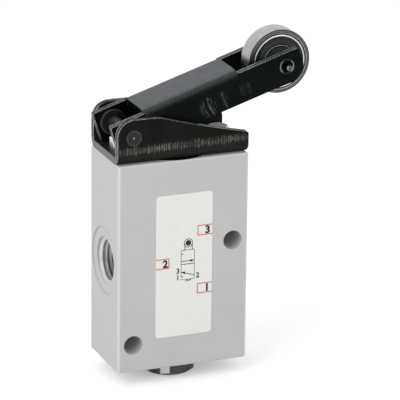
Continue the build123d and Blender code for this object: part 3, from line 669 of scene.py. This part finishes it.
# %% Metals about the upright axis
origin = (0.0, 0.0, 0.0)
upright_metals = {
    "turned_stainless": ((0.52, 0.53, 0.54), 0.24, origin, 4, True),
    "turned_brass": ((0.62, 0.47, 0.20), 0.28, origin, 4, True),
    # The guide bush is painted near black: painted shade under the bracket.
    "painted_shade_bush": ((0.016, 0.016, 0.017), 0.35, origin, 4, True, 0.4, 0.1),
    "drawn_spring_steel": ((0.40, 0.41, 0.43), 0.26, origin, 2, True),
}
stainless, brass, bush_painted_shade, spring_steel = (
    turned_metal(name, *values) for name, values in upright_metals.items()
)
finish_of |= {
    "bearing_outer_ring": ground_steel,
    "bearing_inner_ring": race_steel,
    "bearing_balls": ball_steel,
    "roller_axle": axle_steel,
    "axle_spacers": spacer_steel,
    "pivot_pin": pin_steel,
    "pivot_rings": ring_steel,
    "plunger": stainless,
    "poppet": brass,
    "guide_bush": bush_painted_shade,
    "plunger_spring": spring_steel,
    "poppet_spring": spring_steel,
}
print("nodes with a finish so far", len(finish_of))

# %% [markdown]
# ## The screws: zinc plate
# The screws' heads are bright on their flats, and their tops are a darker, matt grey. A top is told from a
# flat by its normal.

# %% Screw finish
zinc, shader, place, facing = new_finish("zinc_plate", Metallic=0.9)
zinc_grain, zinc_edges = coated(place, 3200.0, 500.0, 0.15, 1200.0)
head_top = ramp(split(facing)["Z"], 0.93, 0.99)
colour = layers(
    blend_colour(zinc_grain["Tone"], (0.70, 0.71, 0.71), (0.86, 0.87, 0.87)),
    (head_top, (0.200, 0.212, 0.205)),
    (product(zinc_edges["Mask"], 0.8), (0.80, 0.81, 0.80)),
)
complete(shader, colour, (0.30, 0.5), 5, zinc_grain, zinc_edges, Tone=head_top)
finish_of["bracket_screws"] = zinc
print("finish", zinc.name)

# %% [markdown]
# ## The plug: blackened hexagon with a bright flat
# The hexagon under the block is blackened steel. Part of one flat is bright: a strip of X in Object
# coordinates beside the front corner, crossed by fine lines along the flat.

# %% Plug finish
PATCH_LEFT, PATCH_RIGHT, PATCH_SOFT = -4.45, -2.47, 0.12
plug_black, shader, place, facing = new_finish("blackened_plug", Specular_IOR_Level=0.3)
where = split(place)
plug_grain, plug_edges = coated(place, 2400.0, 260.0, 0.25, 700.0)
flat_lines = placed(scratches, Place=place, Fineness=2600.0, Stretch=3.0, Share=0.7)
bright_patch = product(
    ramp_mm(where["X"], PATCH_LEFT - PATCH_SOFT, PATCH_LEFT + PATCH_SOFT),
    ramp_mm(where["X"], PATCH_RIGHT + PATCH_SOFT, PATCH_RIGHT - PATCH_SOFT),
    ramp_mm(where["Y"], 0.0, -1.0),
    ramp(size_of(split(facing)["Z"]), 0.5, 0.3),
    ramp(flat_lines["Mask"], 0.0, 1.0, 1.0, 0.78),
)
colour = layers(
    blend_colour(plug_grain["Tone"], (0.042, 0.044, 0.046), (0.080, 0.083, 0.086)),
    (bright_patch, (0.74, 0.74, 0.745)),
    (product(plug_edges["Mask"], 0.7), (0.19, 0.195, 0.20)),
)
feed(shader, Metallic=product(bright_patch, 0.5))
complete(shader, colour, (0.30, 0.45), 10, plug_grain, plug_edges)
finish_of["bottom_plug"] = plug_black
print("finish", plug_black.name)


# %% [markdown]
# ## Rubber, cage and label film
# The seals are moulded rubber, the cage is moulded plastic and the label is printed film under a thin
# varnish. They are dielectrics, told apart by colour, roughness and the size of their grain.


# %% Moulded and printed finishes
def moulded(name, dark, pale, rough, fineness, depth, level=0.4):
    """Dielectric whose colour, roughness and relief follow the grain group."""
    finish, shader, place, _ = new_finish(name, Specular_IOR_Level=level)
    skin = placed(grain, Place=place, Fineness=fineness, Patch=300.0)
    complete(shader, blend_colour(skin["Tone"], dark, pale), (rough, rough + 0.12), depth, skin)
    return finish


dielectrics = {
    "bearing_seal_rubber": ((0.008, 0.011, 0.012), (0.016, 0.020, 0.021), 0.40, 3000.0, 8),
    "seal_ring_rubber": ((0.010, 0.010, 0.011), (0.022, 0.022, 0.023), 0.45, 3600.0, 8),
    "cage_plastic": ((0.20, 0.13, 0.05), (0.27, 0.18, 0.08), 0.42, 3000.0, 6),
    "label_film": ((0.795, 0.792, 0.762), (0.820, 0.816, 0.785), 0.36, 2400.0, 3),
    "black_ink": ((0.012, 0.012, 0.013), (0.022, 0.022, 0.023), 0.40, 2400.0, 2, 0.25),
    "red_ink": ((0.62, 0.085, 0.060), (0.70, 0.12, 0.085), 0.40, 2400.0, 2, 0.25),
}
seal_rubber, ring_rubber, cage_plastic, film, black_ink, red_ink = (
    moulded(name, *values) for name, values in dielectrics.items()
)
finish_of |= {"bearing_seal_front": seal_rubber, "bearing_seal_rear": seal_rubber}
finish_of |= {"bearing_cage": cage_plastic, "label": film}
finish_of |= {f"{piece}_seal": ring_rubber for piece in ("poppet", "plug", "plunger", "bush", "rod")}
for node, finish in finish_of.items():
    node_mesh = frame["nodes"][node].data
    node_mesh.materials.clear()
    node_mesh.materials.append(finish)
print("nodes with a finish", len(finish_of), "of", len(frame["nodes"]))

# %% [markdown]
# ## Surfaces from arrays
# Every new piece is a grid of points with two parameters, one along a path and one round a section. The
# grid wraps round its section, and along its path it either joins up or shrinks to a point at each end, so
# it is always closed. Points that fall together, such as those at a pole, are merged, and a stray edge
# along the axis is deleted. A negative volume means that the piece is inside out.


# %% Closed skins
SHARP_ANGLE = radians(32)
MERGE_DISTANCE = 1e-4


def finish_piece(name, mesh, body, finish):
    """Put a mesh in the scene as a piece of a body, smooth except at sharp edges."""
    mesh.shade_smooth()
    mesh.set_sharp_from_angle(angle=SHARP_ANGLE)
    mesh.materials.clear()
    mesh.materials.append(finish)
    piece = bpy.data.objects.new(name, mesh)
    scene.collection.objects.link(piece)
    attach(piece, body)
    return piece


def closed_skin(name, grid, joined, body, finish):
    """Closed piece from a (rows, columns, 3) grid in millimetres that wraps round its columns.

    Rows join up where joined is true, and otherwise each end row is followed by its own centre point.
    The volume is a sixth of the sum, over triangles, of a corner's product with the cross of the others.
    """
    if not joined:
        caps = [np.broadcast_to(row.mean(axis=0), row.shape) for row in (grid[0], grid[-1])]
        grid = np.concatenate([caps[0][None], grid, caps[1][None]])
    rows, columns = grid.shape[:2]
    row = np.arange(rows if joined else rows - 1)[:, None]
    column = np.arange(columns)[None, :]
    below, beside = (row + 1) % rows, (column + 1) % columns
    corners = [first * columns + second for first in (row, below) for second in (column, beside)]
    faces = np.stack([corners[0], corners[1], corners[3], corners[2]], axis=-1).reshape(-1, 4)
    points = grid.reshape(-1, 3) * MM
    a, b, c, d = (points[faces[:, corner]] for corner in range(4))
    if (np.cross(a, b) * c).sum() + (np.cross(a, c) * d).sum() < 0:
        faces = faces[:, ::-1]
    mesh = bpy.data.meshes.new(name)
    mesh.from_pydata(points.tolist(), [], faces.tolist())
    shell = bmesh.new()
    shell.from_mesh(mesh)
    bmesh.ops.remove_doubles(shell, verts=shell.verts, dist=MERGE_DISTANCE * MM)
    bmesh.ops.delete(shell, geom=[edge for edge in shell.edges if edge.is_wire], context="EDGES")
    open_edges = sum(not edge.is_manifold for edge in shell.edges)
    shell.to_mesh(mesh)
    shell.free()
    print(name, "faces", len(mesh.polygons), "open edges", open_edges)
    return finish_piece(name, mesh, body, finish)


def turned_piece(name, outline, centre, body, finish, segments=96, along_z=False):
    """Closed outline of (radius, height) points turned round an axis along Y, or Z, through a centre."""
    angle = np.linspace(0, 2 * pi, segments, endpoint=False)
    radius, height = outline[:, 0, None], outline[:, 1, None] + 0 * angle
    first, second = radius * np.cos(angle), radius * np.sin(angle)
    order = (first, second, height) if along_z else (first, height, second)
    return closed_skin(name, np.stack(order, axis=-1) + centre, True, body, finish)


def rounded(points, steps=4):
    """Closed outline of (x, y, radius) points, with an arc of that radius at each corner.

    An arc touches both sides at its radius over the tangent of half the angle between them.
    """
    points = np.array(points, float)
    corners, radii = points[:, :2], points[:, 2]
    pieces = []
    for before, corner, after, radius in zip(np.roll(corners, 1, 0), corners, np.roll(corners, -1, 0), radii):
        if radius == 0:
            pieces.append(corner[None])
            continue
        back, ahead = before - corner, after - corner
        back, ahead = back / np.linalg.norm(back), ahead / np.linalg.norm(ahead)
        half = np.arccos(np.clip(back @ ahead, -1, 1)) / 2
        reach = radius / np.tan(half)
        inward = (back + ahead) / np.linalg.norm(back + ahead) * radius / np.sin(half)
        share = np.linspace(0, 1, steps + 1)[:, None]
        sweep = pi - 2 * half
        start, end = back * reach - inward, ahead * reach - inward
        arc = np.sin((1 - share) * sweep) * start + np.sin(share * sweep) * end
        pieces.append(corner + inward + arc / np.sin(sweep))
    return np.vstack(pieces)


def mirrored(half, between=()):
    """Rounded outline from the points of its one half, which are mirrored in height for the other."""
    return rounded([*half, *between, *((radius, -height, arc) for radius, height, arc in reversed(half))])


# %% [markdown]
# ## The roller's tyre
# The bearing's outer ring is the roller's tyre. Its tread is ground plain, its rim is rounded, and on each
# side a fine step and a bead, painted with a ring of highlight, lead in to the seal. That is a profile
# turned round the axle: the race inside is an arc of the ball's own radius.

# %% Tyre
TYRE_HALF = 3.0
TYRE_ROUNDING = 0.25
STEP_RADIUS = 7.95
STEP_DEPTH = 0.14
BEAD_RADIUS = 7.6
BEAD_FACE = TYRE_HALF - 0.02
BORE_RADIUS = 7.1
RACE_RADIUS = 1.53
RACE_CENTRE = 5.85

side = [
    (TREAD_RADIUS, TYRE_HALF, TYRE_ROUNDING),
    (STEP_RADIUS + 0.1, TYRE_HALF, 0.04),
    (STEP_RADIUS, TYRE_HALF - STEP_DEPTH, 0.03),
    (BEAD_RADIUS, TYRE_HALF - STEP_DEPTH, 0.02),
    (BEAD_RADIUS - 0.24, BEAD_FACE, 0.15),
    (BORE_RADIUS + 0.06, BEAD_FACE, 0.05),
    (BORE_RADIUS, TYRE_HALF - 0.1, 0.02),
]
lip = sqrt(RACE_RADIUS**2 - (BORE_RADIUS - RACE_CENTRE) ** 2)
race_end = np.arctan2(lip, BORE_RADIUS - RACE_CENTRE)
race_angle = np.linspace(race_end, -race_end, 17)
race = [(RACE_CENTRE + RACE_RADIUS * cos(a), RACE_RADIUS * sin(a), 0) for a in race_angle]
tyre = turned_piece(
    "tyre_ring", mirrored(side, race), axle_place, "roller", ground_steel, 144
)
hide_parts("bearing_outer_ring")

# %% [markdown]
# ## The bearing's seals
# A rubber seal sits in each side: a flat annulus with a bead at its rim, a shallow groove and a thin lip
# that nearly touches the inner ring. Both are one profile, mirrored for the back.

# %% Seals
SEAL_OUT, SEAL_IN = 2.62, 2.2
SEAL_RIM, SEAL_LIP = 7.08, 4.68
seal_profile = [
    (SEAL_RIM, SEAL_IN, 0.04),
    (SEAL_RIM, SEAL_OUT - 0.05, 0.08),
    (SEAL_RIM - 0.45, SEAL_OUT - 0.05, 0.05),
    (SEAL_RIM - 0.6, SEAL_OUT - 0.2, 0.05),
    (SEAL_LIP + 1.05, SEAL_OUT - 0.2, 0.05),
    (SEAL_LIP + 0.9, SEAL_OUT - 0.05, 0.05),
    (SEAL_LIP + 0.35, SEAL_OUT, 0.06),
    (SEAL_LIP, SEAL_OUT - 0.15, 0.05),
    (SEAL_LIP, SEAL_IN, 0.04),
]
for seal_side, node in ((-1, "bearing_seal_front"), (1, "bearing_seal_rear")):
    outline = rounded(seal_profile) * (1, seal_side)
    seal = turned_piece(f"{node}_moulded", outline, axle_place, "roller", seal_rubber)
    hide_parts(node)

# %% [markdown]
# ## The axle and its riveted ends
# The axle's ends are pressed out over the lever's cheeks. Each end is a small raised lip round a dished
# cup, and out of the cup stands a round-nosed nub, left by the tool that held the axle. It is a turned
# profile, mirrored about the middle of the roller.

# %% Axle
AXLE_BODY = 3.0
AXLE_END = 2.25
LIP_RADIUS = 2.3
LIP_FACE = LEVER_OUTER + 0.3
CUP_RADIUS = 1.62
CUP_FLOOR = LIP_FACE - 0.7
NUB_RADIUS = 1.02
NUB_TIP = LIP_FACE + 2.3
half_axle = [
    (0, NUB_TIP, 0),
    (NUB_RADIUS, NUB_TIP, 0.86),
    (NUB_RADIUS - 0.1, CUP_FLOOR, 0.1),
    (CUP_RADIUS - 0.2, CUP_FLOOR, 0.15),
    (CUP_RADIUS, LIP_FACE, 0.12),
    (LIP_RADIUS, LIP_FACE, 0.2),
    (LIP_RADIUS, LEVER_OUTER + 0.01, 0),
    (AXLE_END, LEVER_OUTER, 0),
    (AXLE_END, LEVER_INNER, 0),
    (AXLE_BODY, LEVER_INNER, 0.08),
]
axle = turned_piece("riveted_axle", mirrored(half_axle), axle_place, "lever", axle_steel, 64)
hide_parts("roller_axle")

# %% [markdown]
# ## The pivot pin
# The pin's ends are flush in the bracket's cheeks. Each has a rounded rim, a slightly dished face and a
# punch mark at its centre, which shows as a bright dot of painted glint. Again a turned profile, about the
# pivot's axis.

# %% Pin
PIN_RADIUS, PIN_HEAD = 2.0, 2.2
PIN_END = cheek_outer + 0.1
HEAD_BACK = PIN_END - 0.5
half_pin = [
    (0, PIN_END - 0.36, 0),
    (0.42, PIN_END - 0.08, 0.06),
    (1.35, PIN_END - 0.10, 0.4),
    (1.75, PIN_END, 0.2),
    (PIN_HEAD, PIN_END, 0.22),
    (PIN_HEAD, HEAD_BACK, 0),
    (PIN_RADIUS, HEAD_BACK, 0),
]
pin = turned_piece("riveted_pin", mirrored(half_pin), pivot_place, "valve", pin_steel, 64)
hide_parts("pivot_pin")

# %% [markdown]
# ## The plunger's domed end
# The lever's web rests on the plunger's domed end. The CAD model's dome stands low, so the full half ball
# is made here: its centre lies one radius, and a hair more, under the underside of the web. A short root
# inside the stem holds it, and it rides with the plunger.

# %% Domed end
PLUNGER_RADIUS = 3.0
CONTACT_GAP = 0.06
ROOT_RADIUS, ROOT_DEPTH = 2.9, 0.4
web_underside = pivot_place[2] - pivot_place[0] * tan(LEVER_REST) + (WEB_RISE - SHEET) / cos(LEVER_REST)
dome_centre = web_underside - PLUNGER_RADIUS / cos(LEVER_REST) - CONTACT_GAP
quarter = np.linspace(0, pi / 2, 17)
dome_height = dome_centre + PLUNGER_RADIUS * np.sin(quarter)
half_ball = np.stack([PLUNGER_RADIUS * np.cos(quarter), dome_height], axis=-1)
root = [(0, dome_centre - ROOT_DEPTH), (ROOT_RADIUS, dome_centre - ROOT_DEPTH), (ROOT_RADIUS, dome_centre)]
dome = np.vstack([root, half_ball])
turned_piece("plunger_domed_end", dome, origin, "plunger_unit", stainless, 64, along_z=True)
print("dome centre", round(dome_centre, 3), "top", round(dome_centre + PLUNGER_RADIUS, 3))

# %% [markdown]
# ## The bracket's two screws
# Each screw has a hexagon head with a 30 degree chamfer. Head and shank are one grid of rings. Round the
# head a ring's radius follows the hexagon, which is half its width over the cosine of the angle from the
# nearest flat's middle, but never passes the cone of the chamfer: that limit shrinks from ring to ring,
# and the flats' curved tops appear by themselves.

# %% Screws
HEAD_FLATS = 5.5
HEAD_TOP = 3.2
HEAD_DISH = HEAD_TOP - 0.04
HEAD_FACE = 2.6
HEAD_CORNER = 3.2
CHAMFER_RINGS = 9
SHANK_RADIUS = 1.5
SHANK_LENGTH = 8.0
SCREW_SEGMENTS = 144
screw_low, screw_high = box_mm("bracket_screws")
screw_seat = screw_low[2] + SHANK_LENGTH
chamfer_limit = np.linspace(HEAD_CORNER, HEAD_FACE, CHAMFER_RINGS)
chamfer_height = HEAD_TOP - (chamfer_limit - HEAD_FACE) * tan(radians(30))
limit = np.concatenate([[SHANK_RADIUS, SHANK_RADIUS, HEAD_CORNER], chamfer_limit, [HEAD_FACE - 0.3, 0, 0]])
height = np.concatenate([[-SHANK_LENGTH, 0, 0], chamfer_height, [HEAD_DISH, HEAD_DISH, -SHANK_LENGTH]])
angle = np.linspace(0, 2 * pi, SCREW_SEGMENTS, endpoint=False)
from_flat = np.mod(angle + pi / 6, pi / 3) - pi / 6
radius = np.minimum(limit[:, None], HEAD_FLATS / 2 / np.cos(from_flat))
one_screw = np.stack([radius * np.cos(angle), radius * np.sin(angle), height[:, None] + 0 * angle], axis=-1)
ends = {"screw_left": screw_low[0] + HEAD_FLATS / 2, "screw_right": screw_high[0] - HEAD_FLATS / 2}
for name, x in ends.items():
    screw = closed_skin(name, one_screw + (x, 0, screw_seat), True, "valve", zinc)
    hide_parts("bracket_screws")


# %% [markdown]
# ## Coil springs with closed, ground ends
# The CAD springs are plain helices. A real one closes up over its last turn, where the wire lies against
# itself, and its ends are ground flat so that they sit square. The height of the wire's centre is the
# running sum of a pitch that grows from the wire's own thickness to the open pitch, and grinding is simply
# a limit on the height of every point.


# %% Springs
def coil_spring(name, node, open_turns, wire, finish):
    """Spring in a node's place: a circle carried along a helix, cut off flat at both ends."""
    low, high = box_mm(node)
    length = high[2] - low[2]
    coil_radius = (high[0] - low[0] - wire) / 2
    turns = open_turns + 1.5
    turn = np.linspace(0, turns, int(48 * turns))
    opening = np.clip(np.minimum(turn, turns - turn) / 0.75, 0, 1)
    climb = np.cumsum(opening**2 * (3 - 2 * opening))
    centre_z = low[2] + wire * 0.25 + climb / climb[-1] * (length - wire * 0.5)
    angle = 2 * pi * turn[:, None]
    round_wire = np.linspace(0, 2 * pi, 14, endpoint=False)[None, :]
    reach = coil_radius + wire / 2 * np.cos(round_wire)
    height = np.clip(centre_z[:, None] + wire / 2 * np.sin(round_wire), low[2], high[2])
    grid = np.stack([reach * np.cos(angle), reach * np.sin(angle), height], axis=-1)
    spring = closed_skin(name, grid, False, "valve", finish)
    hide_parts(node)
    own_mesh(spring)


coil_spring("plunger_return_spring", "plunger_spring", 2.0, 0.8, spring_steel)
coil_spring("poppet_closing_spring", "poppet_spring", 3.5, 0.6, spring_steel)


# %% [markdown]
# ## Threads in the ports
# A port is drilled and tapped, and the camera looks straight into the left one, so its thread has to be
# real. The ridge between two turns of the tap is a small wedge carried along a helix round the port's
# axis. It fades out at both ends by shrinking to nothing, which also closes the skin.


# %% Port threads
THREAD_PITCH = 1.337
THREAD_DEPTH = 0.84
THREAD_SEAT = 0.04
RUN_OUT_TURNS = 0.35

thread_metal, shader, place, _ = new_finish("cut_thread", Metallic=0.4)
thread_grain = placed(grain, Place=place, Fineness=3000.0, Patch=300.0)
bare = blend_colour(thread_grain["Tone"], (0.60, 0.61, 0.61), (0.70, 0.71, 0.715))
# The thread takes the same painted shade as the ports, deeper in and lower down.
complete(shader, blend_colour(painted_shade_in_ports(place), bare, PORT_PAINTED_SHADE), (0.34, 0.46), 4, thread_grain)


def port_thread(name, port):
    """Ridge of a pipe thread: a wedge section (depth, along) carried along a helix in a threaded mount."""
    wall, length = port["dims"]["r_mm"], port["dims"]["length_mm"]
    outward = np.array(port["axis"], float)
    start = np.array(port["pos_m"]) / MM + outward * (THREAD_PITCH * 0.6 - length / 2)
    turns = length / THREAD_PITCH - 0.85
    turn = np.linspace(0, turns, int(72 * turns))
    size = np.clip(np.minimum(turn, turns - turn) / RUN_OUT_TURNS, 0.02, 1)[:, None]
    foot, crest = THREAD_PITCH * 0.49, THREAD_PITCH * 0.085
    half = [(-THREAD_SEAT, foot), (0, foot), (THREAD_DEPTH * 0.93, crest), (THREAD_DEPTH, crest * 0.4)]
    section = np.array([(deep, -along) for deep, along in half] + half[::-1])
    deep, aside = section[None, :, 0], section[None, :, 1]
    angle = 2 * pi * turn[:, None]
    radius = wall - deep * np.where(deep > 0, size, 1)
    along = (turn * THREAD_PITCH)[:, None] + aside * size
    first = np.cross(outward, (0, 0, 1))
    second = np.cross(outward, first)
    parts = ((radius * np.cos(angle), first), (radius * np.sin(angle), second), (along, outward))
    grid = start + sum(length_along[..., None] * axis for length_along, axis in parts)
    return closed_skin(name, grid, False, "valve", thread_metal)


for port in PORTS:
    port_thread(f"{port}_thread", mounts[port])

# %% [markdown]
# ## The label's print
# The film carries red boxes that point at the ports, a plain number in each, and the symbol of a
# two-position valve with a roller and a spring. Ink is drawn as thin ribbons of real thickness that follow
# a path: at each point the ribbon's sides are offset along the bisector of the two runs that meet there,
# so corners stay mitred.

# %% Ink ribbons
INK_THICKNESS = 0.03
INK_SINK = 0.01
INK_BACK = label_low[1] + INK_SINK


def ink_line(name, path, width, finish, closed=False):
    """Ribbon on the label along (x, z) points; the width may be one number or one for each point."""
    path = np.array(path, float)
    ahead = np.roll(path, -1, 0) - path
    if not closed:
        ahead[-1] = ahead[-2]
    ahead /= np.linalg.norm(ahead, axis=1)[:, None]
    behind = np.roll(ahead, 1, 0)
    if not closed:
        behind[0] = ahead[0]
    across = np.stack([-(ahead + behind)[:, 1], (ahead + behind)[:, 0]], axis=-1)
    across /= np.linalg.norm(across, axis=1)[:, None]
    straight = np.stack([-ahead[:, 1], ahead[:, 0]], axis=-1)
    mitre = 1 / np.clip((across * straight).sum(axis=1), 0.5, 1)
    half = across * (np.broadcast_to(width, len(path)) / 2 * mitre)[:, None]
    left, right, front = path + half, path - half, INK_BACK - INK_THICKNESS
    corners = [(left, front), (right, front), (right, INK_BACK), (left, INK_BACK)]
    grid = np.stack([np.insert(edge, 1, y, axis=1) for edge, y in corners], axis=1)
    return closed_skin(name, grid, closed, "valve", finish)


def arc_points(centre, radius, count=40):
    """Points round a whole circle on the label."""
    angle = np.linspace(0, 2 * pi, count, endpoint=False)
    return np.stack([centre[0] + radius * np.cos(angle), centre[1] + radius * np.sin(angle)], axis=-1)


# %% [markdown]
# The boxes are open towards the label's edge, where they lead to a port. The symbol is drawn from its own
# few measures: a column of two squares, one for each position, with arrows for the flow, the roller on top
# and the spring below.

# %% Boxes
RED_LINE = 0.26
BOX_HEIGHT = 2.75
BOX_LENGTH, LEFT_BOX_LENGTH = 4.3, 3.8
EDGE_INSET = 0.02
upper_box_z, left_box_z, lower_box_z = 43.7, 35.05, 26.75
left_x, right_x = label_low[0], label_high[0]
right_ends = (right_x - EDGE_INSET, right_x - BOX_LENGTH)
left_ends = (left_x + EDGE_INSET, left_x + LEFT_BOX_LENGTH)
boxes = {
    "red_box_upper": (right_ends, upper_box_z),
    "red_box_lower": (right_ends, lower_box_z),
    "red_box_left": (left_ends, left_box_z),
}
for name, ((edge, inner), z) in boxes.items():
    top, foot = z + BOX_HEIGHT / 2, z - BOX_HEIGHT / 2
    ink_line(name, [(edge, top), (inner, top), (inner, foot), (edge, foot)], RED_LINE, red_ink)

# %% Symbol
FINE_LINE, TOP_LINE, HAIR_LINE = 0.2, 0.16, 0.12
LEFT, RIGHT = -0.68, 3.25
TOP, MIDDLE, BOTTOM = 38.4, 34.3, 29.85
UPPER_FLOW = 35.2
NECK_LEFT, NECK_RIGHT, NECK_TOP = 0.37, 2.56, 40.1
BLOCK_REACH = LEFT + 0.65
SPRING_TOP = BOTTOM - 0.1
SPRING_WAVE = [(0.6, 29.2), (1.1, SPRING_TOP), (1.5, 29.3), (1.95, SPRING_TOP), (2.35, 29.4)]
ROLLER_MIDDLE = (1.39, 40.4)
ARROW_LENGTH, ARROW_TAPER = 1.2, [0.8, 0.02]
symbol = {
    "symbol_divider": ([(LEFT, MIDDLE), (RIGHT, MIDDLE)], FINE_LINE),
    "symbol_flow_upper": ([(LEFT, UPPER_FLOW), (RIGHT, UPPER_FLOW)], FINE_LINE),
    "symbol_flow_lower": ([(RIGHT, 30.9), (LEFT, 32.05)], FINE_LINE),
    "symbol_blocked_upper": ([(LEFT, 37.35), (BLOCK_REACH, 37.35)], FINE_LINE),
    "symbol_blocked_lower": ([(LEFT, 30.75), (BLOCK_REACH, 30.75)], FINE_LINE),
    "symbol_neck_left": ([(NECK_LEFT, TOP), (NECK_LEFT, NECK_TOP)], FINE_LINE),
    "symbol_neck_right": ([(NECK_RIGHT, TOP), (NECK_RIGHT, NECK_TOP)], FINE_LINE),
    "symbol_spring": (SPRING_WAVE, FINE_LINE),
    "symbol_roller": (arc_points(ROLLER_MIDDLE, 1.2), FINE_LINE, True),
    "symbol_top": ([(LEFT, TOP), (RIGHT, TOP)], TOP_LINE),
    "symbol_side_right": ([(RIGHT, TOP), (RIGHT, BOTTOM)], HAIR_LINE),
    "symbol_base": ([(RIGHT, BOTTOM), (LEFT, BOTTOM)], HAIR_LINE),
    "symbol_side_left": ([(LEFT, BOTTOM), (LEFT, TOP)], HAIR_LINE),
    "symbol_roller_dot": (arc_points(ROLLER_MIDDLE, 0.42), 0.82, True),
    "symbol_arrow_upper": ([(RIGHT - ARROW_LENGTH, UPPER_FLOW), (RIGHT - 0.05, UPPER_FLOW)], ARROW_TAPER),
    "symbol_arrow_lower": ([(LEFT + ARROW_LENGTH, 31.79), (LEFT + 0.05, 32.04)], ARROW_TAPER),
}
for name, (path, width, *closed) in symbol.items():
    ink_line(name, path, width, black_ink, *closed)


# %% [markdown]
# ## Numbers by the ports
# The numbers are plain ones, 1 for supply, 2 for outlet and 3 for exhaust, in Blender's own font. Text
# starts as a curve in its own plane, is made a mesh, and only then do its points move onto the label.


# %% Numbers
def ink_number(name, text, x, z, height, weight):
    """Number printed on the label with its middle at (x, z)."""
    curve = bpy.data.curves.new(name, "FONT")
    curve.body = text
    curve.size = height * 1.4
    curve.offset = weight
    curve.extrude = INK_THICKNESS / 2
    curve.resolution_u = 6
    holder = bpy.data.objects.new(name + "_curve", curve)
    scene.collection.objects.link(holder)
    mesh = bpy.data.meshes.new_from_object(holder.evaluated_get(bpy.context.evaluated_depsgraph_get()))
    bpy.data.objects.remove(holder)
    points = np.empty(len(mesh.vertices) * 3)
    mesh.vertices.foreach_get("co", points)
    points = points.reshape(-1, 3)
    points[:, :2] -= (points[:, :2].max(axis=0) + points[:, :2].min(axis=0)) / 2
    placed_points = points[:, (0, 2, 1)] * (1, -1, 1) + (x, INK_BACK - INK_THICKNESS / 2, z)
    mesh.vertices.foreach_set("co", (placed_points * MM).ravel())
    mesh.name = name
    mesh.update()
    print(name, "faces", len(mesh.polygons))
    return finish_piece(name, mesh, "valve", black_ink)


BIG, SMALL = (2.15, 0.12), (1.5, 0.05)
ink_number("port_number_exhaust", "3", right_x - 1.45, upper_box_z, *BIG)
ink_number("port_number_supply", "1", right_x - 1.45, lower_box_z, *BIG)
ink_number("port_number_outlet", "2", left_x + 2.75, left_box_z, *BIG)
ink_number("symbol_number_exhaust", "3", LEFT - 0.95, 32.5, *SMALL)
ink_number("symbol_number_supply", "1", LEFT - 0.95, 30.6, *SMALL)
ink_number("symbol_number_outlet", "2", RIGHT + 1.0, 30.7, *SMALL)

# %% [markdown]
# ## The studio
# The valve stands on a white table in front of nothing at all. A large floor takes the shadow. To the
# camera, and in reflections, the air behind is plain white; to everything else it is a soft grey fill, so
# white paper doesn't mean glaring light. The floor glows a little for the same rays only, which lifts it
# to white and leaves its shadow.

# %% Floor and air
FLOOR_SIZE = 3.0
AIR_FILL = 0.62
FLOOR_GLOW = 0.30
WHITE = (1.0, 1.0, 1.0)


def seen_directly(tree):
    """1 for rays from the camera, from a mirror or through glass, and 0 for light."""
    rays = add(tree, "LightPath").outputs
    return largest(*(rays[f"Is {kind} Ray"] for kind in ("Camera", "Glossy", "Transmission")))


air = bpy.data.worlds.new("studio_air")
air.use_nodes = True
tree = air.node_tree
fill = tree.nodes["Background"]
feed(fill, Color=WHITE, Strength=AIR_FILL)
white = add(tree, "Background", {"Color": WHITE, "Strength": 1.0})
mixed = add(tree, "MixShader", {"Fac": seen_directly(tree), 1: fill.outputs[0], 2: white.outputs[0]})
connect(tree.nodes["World Output"].inputs["Surface"], mixed.outputs[0])
scene.world = air

floor_mesh = bpy.data.meshes.new("floor")
reach = FLOOR_SIZE / 2
corners = [(-reach, -reach, 0), (reach, -reach, 0), (reach, reach, 0), (-reach, reach, 0)]
floor_mesh.from_pydata(corners, [], [(0, 1, 2, 3)])
floor = bpy.data.objects.new("floor", floor_mesh)
scene.collection.objects.link(floor)
paper, shader, place, _ = new_finish("table_paper", Roughness=0.9, Specular_IOR_Level=0.1)
fibre = placed(grain, Place=place, Fineness=900.0, Patch=3.0)
feed(shader, Base_Color=blend_colour(fibre["Tone"], (0.86, 0.86, 0.86), (0.88, 0.88, 0.88)))
tree = paper.node_tree
glow = add(tree, "Emission", {"Color": WHITE, "Strength": product(seen_directly(tree), FLOOR_GLOW)})
both = add(tree, "AddShader", {0: shader.outputs[0], 1: glow.outputs[0]})
connect(tree.nodes["Material Output"].inputs["Surface"], both.outputs[0])
floor_mesh.materials.append(paper)

# %% [markdown]
# Soft boxes shape the block: a broad one high on the left makes the left face lighter than the front, a
# weaker one from the front right keeps the front from going flat, and a faint one from behind lights the
# top. Their powers are low, because a colour should come out about as it is written.

# %% Lamps
TARGET = Vector((0, 0, 45)) * MM


def soft_box(name, place, size, power):
    """Square area lamp in metres, aimed at the valve's middle."""
    data = bpy.data.lights.new(name, "AREA")
    data.shape = "SQUARE"
    data.size = size
    data.energy = power
    lamp = bpy.data.objects.new(name, data)
    lamp.location = place
    lamp.rotation_euler = (TARGET - Vector(place)).to_track_quat("-Z", "Y").to_euler()
    scene.collection.objects.link(lamp)


soft_box("key_left", (-0.55, -0.28, 0.52), 0.5, 2.3)
soft_box("fill_front", (0.28, -0.62, 0.42), 0.5, 0.9)
soft_box("top_back", (-0.05, 0.25, 0.65), 0.4, 0.6)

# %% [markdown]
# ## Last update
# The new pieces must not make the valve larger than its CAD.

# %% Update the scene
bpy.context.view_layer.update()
